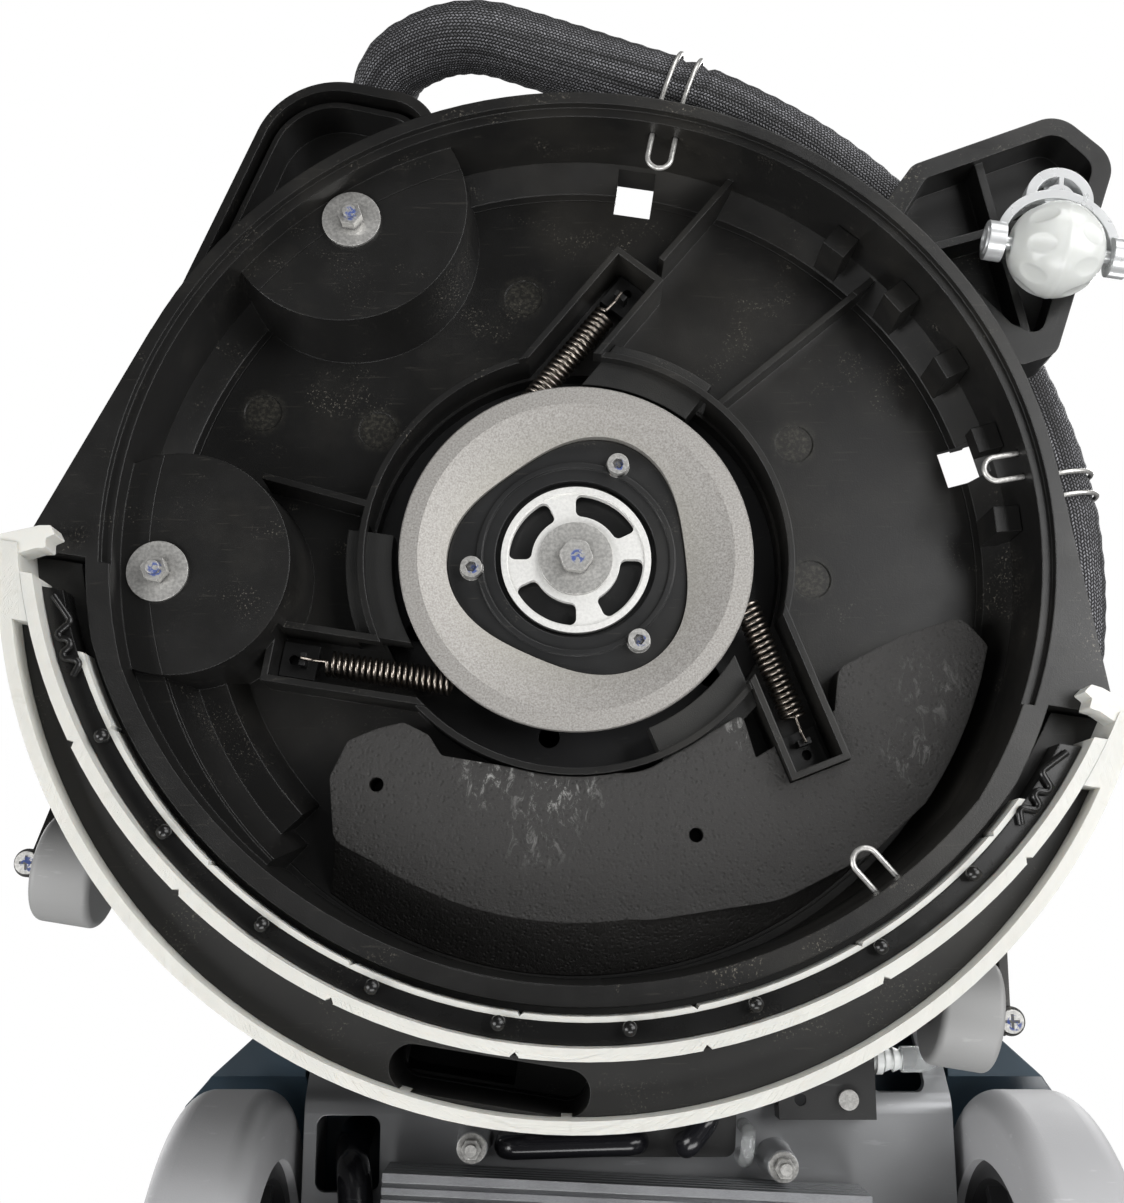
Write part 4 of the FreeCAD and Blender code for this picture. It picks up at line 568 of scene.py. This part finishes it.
def rounded_run(corners, radii):
    """A run through corners as a dense line of points, each corner turned into an arc."""
    line = [corners[0]]
    steps = 14
    for before, corner, after, radius in zip(corners, corners[1:], corners[2:], radii):
        into = (corner - before).normalized()
        out = (after - corner).normalized()
        bend = into.angle(out)
        start = corner - into * radius * math.tan(bend / 2)
        centre = start + (out - into * out.dot(into)).normalized() * radius
        for k in range(steps + 1):
            line.append(centre + Matrix.Rotation(bend * k / steps, 3, into.cross(out)) @ (start - centre))
    line.append(corners[-1])
    return line


def hose_line():
    """The hose's centre line: two arcs round the deck, a straight, then the climb to the union."""
    points = []
    for radius, first, last in HOSE_RUNS:
        offset = RIM_RUN - radius
        for angle in range(first, last - 1, -2):
            a = math.radians(angle)
            x = offset * math.cos(RUN_MEETS) + radius * math.cos(a)
            y = offset * math.sin(RUN_MEETS) + radius * math.sin(a)
            points.append(Vector((x, y, HOSE_Z)))
    heading = Vector((math.sin(a), -math.cos(a), 0))
    corners = [points[-1], points[-1] + heading * HOSE_STRAIGHT]
    corners += [Vector(spot) for spot in HOSE_CLIMB]
    points += rounded_run(corners, (FIRST_BEND, *CLIMB_BENDS))[1:]
    return [at_deck(*p) for p in points]


def even_steps(points, step):
    """The same line with points an even distance apart."""
    made = [points[0]]
    left = step
    for a, b in zip(points, points[1:]):
        run = (b - a).length
        while run > left:
            a = a.lerp(b, left / run)
            made.append(a)
            run = (b - a).length
            left = step
        left -= run
    return made


def tube(name, points, radius_at, sides):
    """A tube of radius_at(along, turn) along points. Its UVs are metres along and turns round."""
    mesh = bmesh.new()
    uv = mesh.loops.layers.uv.new("UVMap")
    rings = []
    side_way = None
    travelled = 0.0
    lengths = []
    for i, p in enumerate(points):
        ahead = (points[min(i + 1, len(points) - 1)] - points[max(i - 1, 0)]).normalized()
        if side_way is None:
            side_way = ahead.orthogonal().normalized()
        side_way = (side_way - ahead * side_way.dot(ahead)).normalized()
        other_way = ahead.cross(side_way)
        if i:
            travelled += (p - points[i - 1]).length
        lengths.append(travelled)
        ring_points = []
        for k in range(sides):
            turn = 2 * math.pi * k / sides
            way = side_way * math.cos(turn) + other_way * math.sin(turn)
            ring_points.append(mesh.verts.new(p + way * radius_at(travelled, turn)))
        rings.append(ring_points)
    for i in range(len(rings) - 1):
        for k in range(sides):
            n = (k + 1) % sides
            face = mesh.faces.new((rings[i][k], rings[i][n], rings[i + 1][n], rings[i + 1][k]))
            corners = ((lengths[i], k), (lengths[i], k + 1), (lengths[i + 1], k + 1), (lengths[i + 1], k))
            for loop, (along, around) in zip(face.loops, corners):
                loop[uv].uv = (along, around / sides)
    mesh.faces.new(list(reversed(rings[0])))
    mesh.faces.new(rings[-1])
    mesh.normal_update()
    data = bpy.data.meshes.new(name)
    mesh.to_mesh(data)
    mesh.free()
    smooth(data)
    return data


def braid():
    """Rows of short slanting stitches, with painted highlights on their crowns and painted shade between
    them. The slant turns from row to row and some rows are darker.
    """
    paint = Paint("braided_sleeve", (0.02, 0.02, 0.021), 0.45)
    paint.coords = paint.tree.nodes.new("ShaderNodeUVMap").outputs["UV"]
    split = paint.tree.nodes.new("ShaderNodeSeparateXYZ")
    paint.link(paint.coords, split.inputs["Vector"])
    along = paint.maths("DIVIDE", split.outputs["X"], STITCH)
    around = paint.maths("MULTIPLY", split.outputs["Y"], STITCH_ROWS)
    row = paint.maths("FLOOR", around)
    across = paint.maths("FRACT", around)
    lean = paint.maths("SUBTRACT", paint.maths("MULTIPLY", paint.maths("PINGPONG", row, 1.0), 2.0), 1.0)
    slanted = paint.maths("ADD", along, paint.maths("MULTIPLY", paint.maths("MULTIPLY", across, lean), 0.6))
    rise = []
    for value in (paint.maths("FRACT", slanted), across):
        rise.append(paint.maths("SINE", paint.maths("MULTIPLY", value, math.pi)))
    height = paint.maths("MULTIPLY", rise[0], rise[1])
    pick = paint.tree.nodes.new("ShaderNodeTexWhiteNoise")
    pick.noise_dimensions = "3D"
    key = paint.tree.nodes.new("ShaderNodeCombineXYZ")
    paint.link(row, key.inputs["X"])
    paint.link(paint.maths("FLOOR", slanted), key.inputs["Y"])
    paint.link(key.outputs["Vector"], pick.inputs["Vector"])
    streak = paint.ramp(paint.noise(1.0, 3, 0.6, paint.stretch((7, 22, 1))), (0.36, 0.15), (0.60, 1.0))
    each = paint.ramp(pick.outputs["Value"], (0.0, 0.45), (1.0, 1.0))
    # painted highlight: each stitch's crown is painted pale, streaked and varied stitch by stitch
    crown = paint.ramp(height, (0.30, 0.0), (0.78, 1.0))
    lit = paint.maths("MULTIPLY", crown, paint.maths("MULTIPLY", streak, each))
    # painted shade: the grooves between the stitches are painted darker than their crowns
    dark = paint.mix(height, (0.002, 0.002, 0.002), (0.012, 0.012, 0.013))
    paint.colour(paint.mix(lit, dark, (0.34, 0.34, 0.365)))
    paint.roughness(height, 0.78, 0.44)
    paint.bump(height, 0.5)
    return paint.material


def braided_hose():
    """The sleeve: slightly wavy, swollen beside each clip and nipped in under its wires."""
    points = even_steps(hose_line(), HOSE_STEP)
    clip_spots = []
    for angle in CLIP_AT:
        a = math.radians(angle)
        clip_spots.append(at_deck(RIM_RUN * math.sin(a), -RIM_RUN * math.cos(a), HOSE_Z))
    travelled = 0.0
    best = [(1.0, 0.0)] * len(clip_spots)
    for before, p in zip(points, points[1:]):
        travelled += (p - before).length
        for k, spot in enumerate(clip_spots):
            best[k] = min(best[k], ((p - spot).length, travelled))
    pinches = [place for _, place in best]

    def radius_at(along, turn):
        r = HOSE_R - 0.0002 + 0.00025 * math.sin(along * 2 * math.pi / 0.0105)
        r += 0.00035 * math.sin(along * 37 + 2 * turn)
        for place in pinches:
            r += 0.0005 * math.exp(-((along - place) / 0.020) ** 2)
            for wire in (place + CLIP_PITCH, place - CLIP_PITCH):
                r -= 0.0016 * math.exp(-((along - wire) / 0.0022) ** 2)
        return r

    data = tube("braided_hose", points, radius_at, HOSE_SIDES)
    finish_piece("braided_hose", data, braid(), "deck", "hose_black", "suction_hose")


BALL_R = 0.0218                  # in metres, and the angles below in degrees
DIMPLE_STEP = 45.0
DIMPLE_LIFT = 31.0
POLE_FROM = 72.0


def roller_ball():
    """Milky ball with two rows of oval dimples, a raised seam band and sunk poles."""
    low, high = (Vector(corner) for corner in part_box("guide_ball"))
    centre = (low + high) / 2
    axle = Vector((math.cos(DECK_YAW), math.sin(DECK_YAW), 0))
    up = Vector((0, 0, 1))
    third = axle.cross(up)
    mesh = bmesh.new()
    bmesh.ops.create_uvsphere(mesh, u_segments=160, v_segments=96, radius=1.0)
    for v in mesh.verts:
        n = v.co.normalized()
        turn = math.atan2(n.y, n.x)
        lift = math.degrees(math.asin(max(-1.0, min(1.0, n.z))))
        sink = 0.0
        for side in (-1, 1):
            shift = DIMPLE_STEP / 2 if side > 0 else 0.0
            lag = (math.degrees(turn) + shift) % DIMPLE_STEP - DIMPLE_STEP / 2
            across = lag * math.cos(math.radians(lift)) / 11.5
            oval = across ** 2 + ((lift - side * DIMPLE_LIFT) / 17.5) ** 2
            if oval < 1.0:
                sink = 0.055 * (1 - oval) ** 0.6
        band = 0.012 * max(0.0, 1 - (lift / 3.6) ** 4)
        pole = 0.10 * max(0.0, abs(lift) - POLE_FROM) / (90 - POLE_FROM)
        r = BALL_R * (1 - sink + band - pole)
        v.co = centre + (axle * n.z + up * n.x + third * n.y) * r
    data = bpy.data.meshes.new("dimpled_ball")
    mesh.to_mesh(data)
    mesh.free()
    smooth(data)
    finish_piece("dimpled_ball", data, clear_ball().material, "ball", "clear_ball", "guide_ball")


# ---- stage ----
def white_world():
    """White to the camera, a softer grey to everything it lights."""
    world = bpy.data.worlds.new("studio")
    world.use_nodes = True
    tree = world.node_tree
    back = tree.nodes["Background"]
    back.inputs["Color"].default_value = (1, 1, 1, 1)
    seen = tree.nodes.new("ShaderNodeLightPath")
    level = tree.nodes.new("ShaderNodeMapRange")
    level.inputs["To Min"].default_value = 0.09
    level.inputs["To Max"].default_value = 1.0
    tree.links.new(seen.outputs["Is Camera Ray"], level.inputs["Value"])
    tree.links.new(level.outputs["Result"], back.inputs["Strength"])
    bpy.context.scene.world = world


def pale_floor():
    """A faintly glowing floor, seen from above only because the main camera looks up through it."""
    data = bpy.data.meshes.new("floor")
    half = 6.0
    corners = [(-half, -half, 0), (half, -half, 0), (half, half, 0), (-half, half, 0)]
    data.from_pydata(corners, [], [(0, 1, 2, 3)])
    floor = bpy.data.objects.new("floor", data)
    bpy.context.scene.collection.objects.link(floor)
    paint = Paint("floor_paint", (0.40, 0.40, 0.395), 0.7, Emission_Strength=0.52)
    paint.shader.inputs["Emission Color"].default_value = (0.95, 0.95, 0.94, 1)
    cloud = paint.noise(3, 3, 0.5)
    paint.colour(paint.mix(cloud, (0.38, 0.38, 0.375), (0.42, 0.42, 0.415)))
    clear = paint.tree.nodes.new("ShaderNodeBsdfTransparent")
    side = paint.tree.nodes.new("ShaderNodeNewGeometry")
    both = paint.tree.nodes.new("ShaderNodeMixShader")
    out = paint.tree.nodes["Material Output"]
    paint.link(side.outputs["Backfacing"], both.inputs["Fac"])
    paint.link(paint.shader.outputs["BSDF"], both.inputs[1])
    paint.link(clear.outputs["BSDF"], both.inputs[2])
    paint.link(both.outputs["Shader"], out.inputs["Surface"])
    data.materials.append(paint.material)
    floor.visible_shadow = False
    floor.visible_glossy = False
    floor.visible_diffuse = False
    floor.visible_transmission = False


def area_light(name, place, size, power, target):
    data = bpy.data.lights.new(name, "AREA")
    data.shape = "RECTANGLE"
    data.size, data.size_y = size
    data.energy = power
    light = bpy.data.objects.new(name, data)
    light.location = place
    light.rotation_mode = "QUATERNION"
    light.rotation_quaternion = (target - place).to_track_quat("-Z", "Y")
    bpy.context.scene.collection.objects.link(light)


def lights():
    """Soft boxes below for the underside, and above for the rest of the machine."""
    deck = HUB + Vector((0, 0, 0.05))
    body = Vector((0, 0.1, 0.5))
    area_light("under_front", HUB + Vector((0.60, -1.15, -0.55)), (1.0, 0.7), 9, deck)
    area_light("under_right", HUB + Vector((0.85, -0.15, -0.65)), (0.7, 1.1), 12, deck)
    area_light("under_left", HUB + Vector((-1.10, 0.35, -0.70)), (0.6, 1.0), 13, deck)
    area_light("under_rear", HUB + Vector((0.10, 1.15, -0.75)), (1.2, 0.6), 13, deck)
    area_light("top_key", Vector((1.6, -1.6, 2.4)), (1.4, 1.4), 42, body)
    area_light("top_fill", Vector((-1.9, -0.6, 1.9)), (1.4, 1.4), 26, body)
    area_light("top_back", Vector((0.4, 2.2, 2.0)), (1.6, 1.0), 34, body)


def camera():
    data = bpy.data.cameras.new("camera")
    data.lens = LENS
    data.clip_start = 0.01
    c, s = math.cos(CAMERA_TILT), math.sin(CAMERA_TILT)
    up = Vector((0, -c, -s))
    back = Vector((0, s, -c))
    turn = Matrix((Vector((1, 0, 0)), up, back)).transposed().to_4x4()
    shot = bpy.data.objects.new("camera", data)
    shot.matrix_world = Matrix.Translation(HUB + CAMERA_FROM_HUB) @ turn
    bpy.context.scene.collection.objects.link(shot)
    bpy.context.scene.camera = shot


def plain_colours():
    """Colours go to the image as they are, with no film curve."""
    view = bpy.context.scene.view_settings
    view.view_transform = "Standard"
    view.look = "None"


paint_nodes()
braided_hose()
roller_ball()
white_world()
pale_floor()
lights()
plain_colours()
camera()
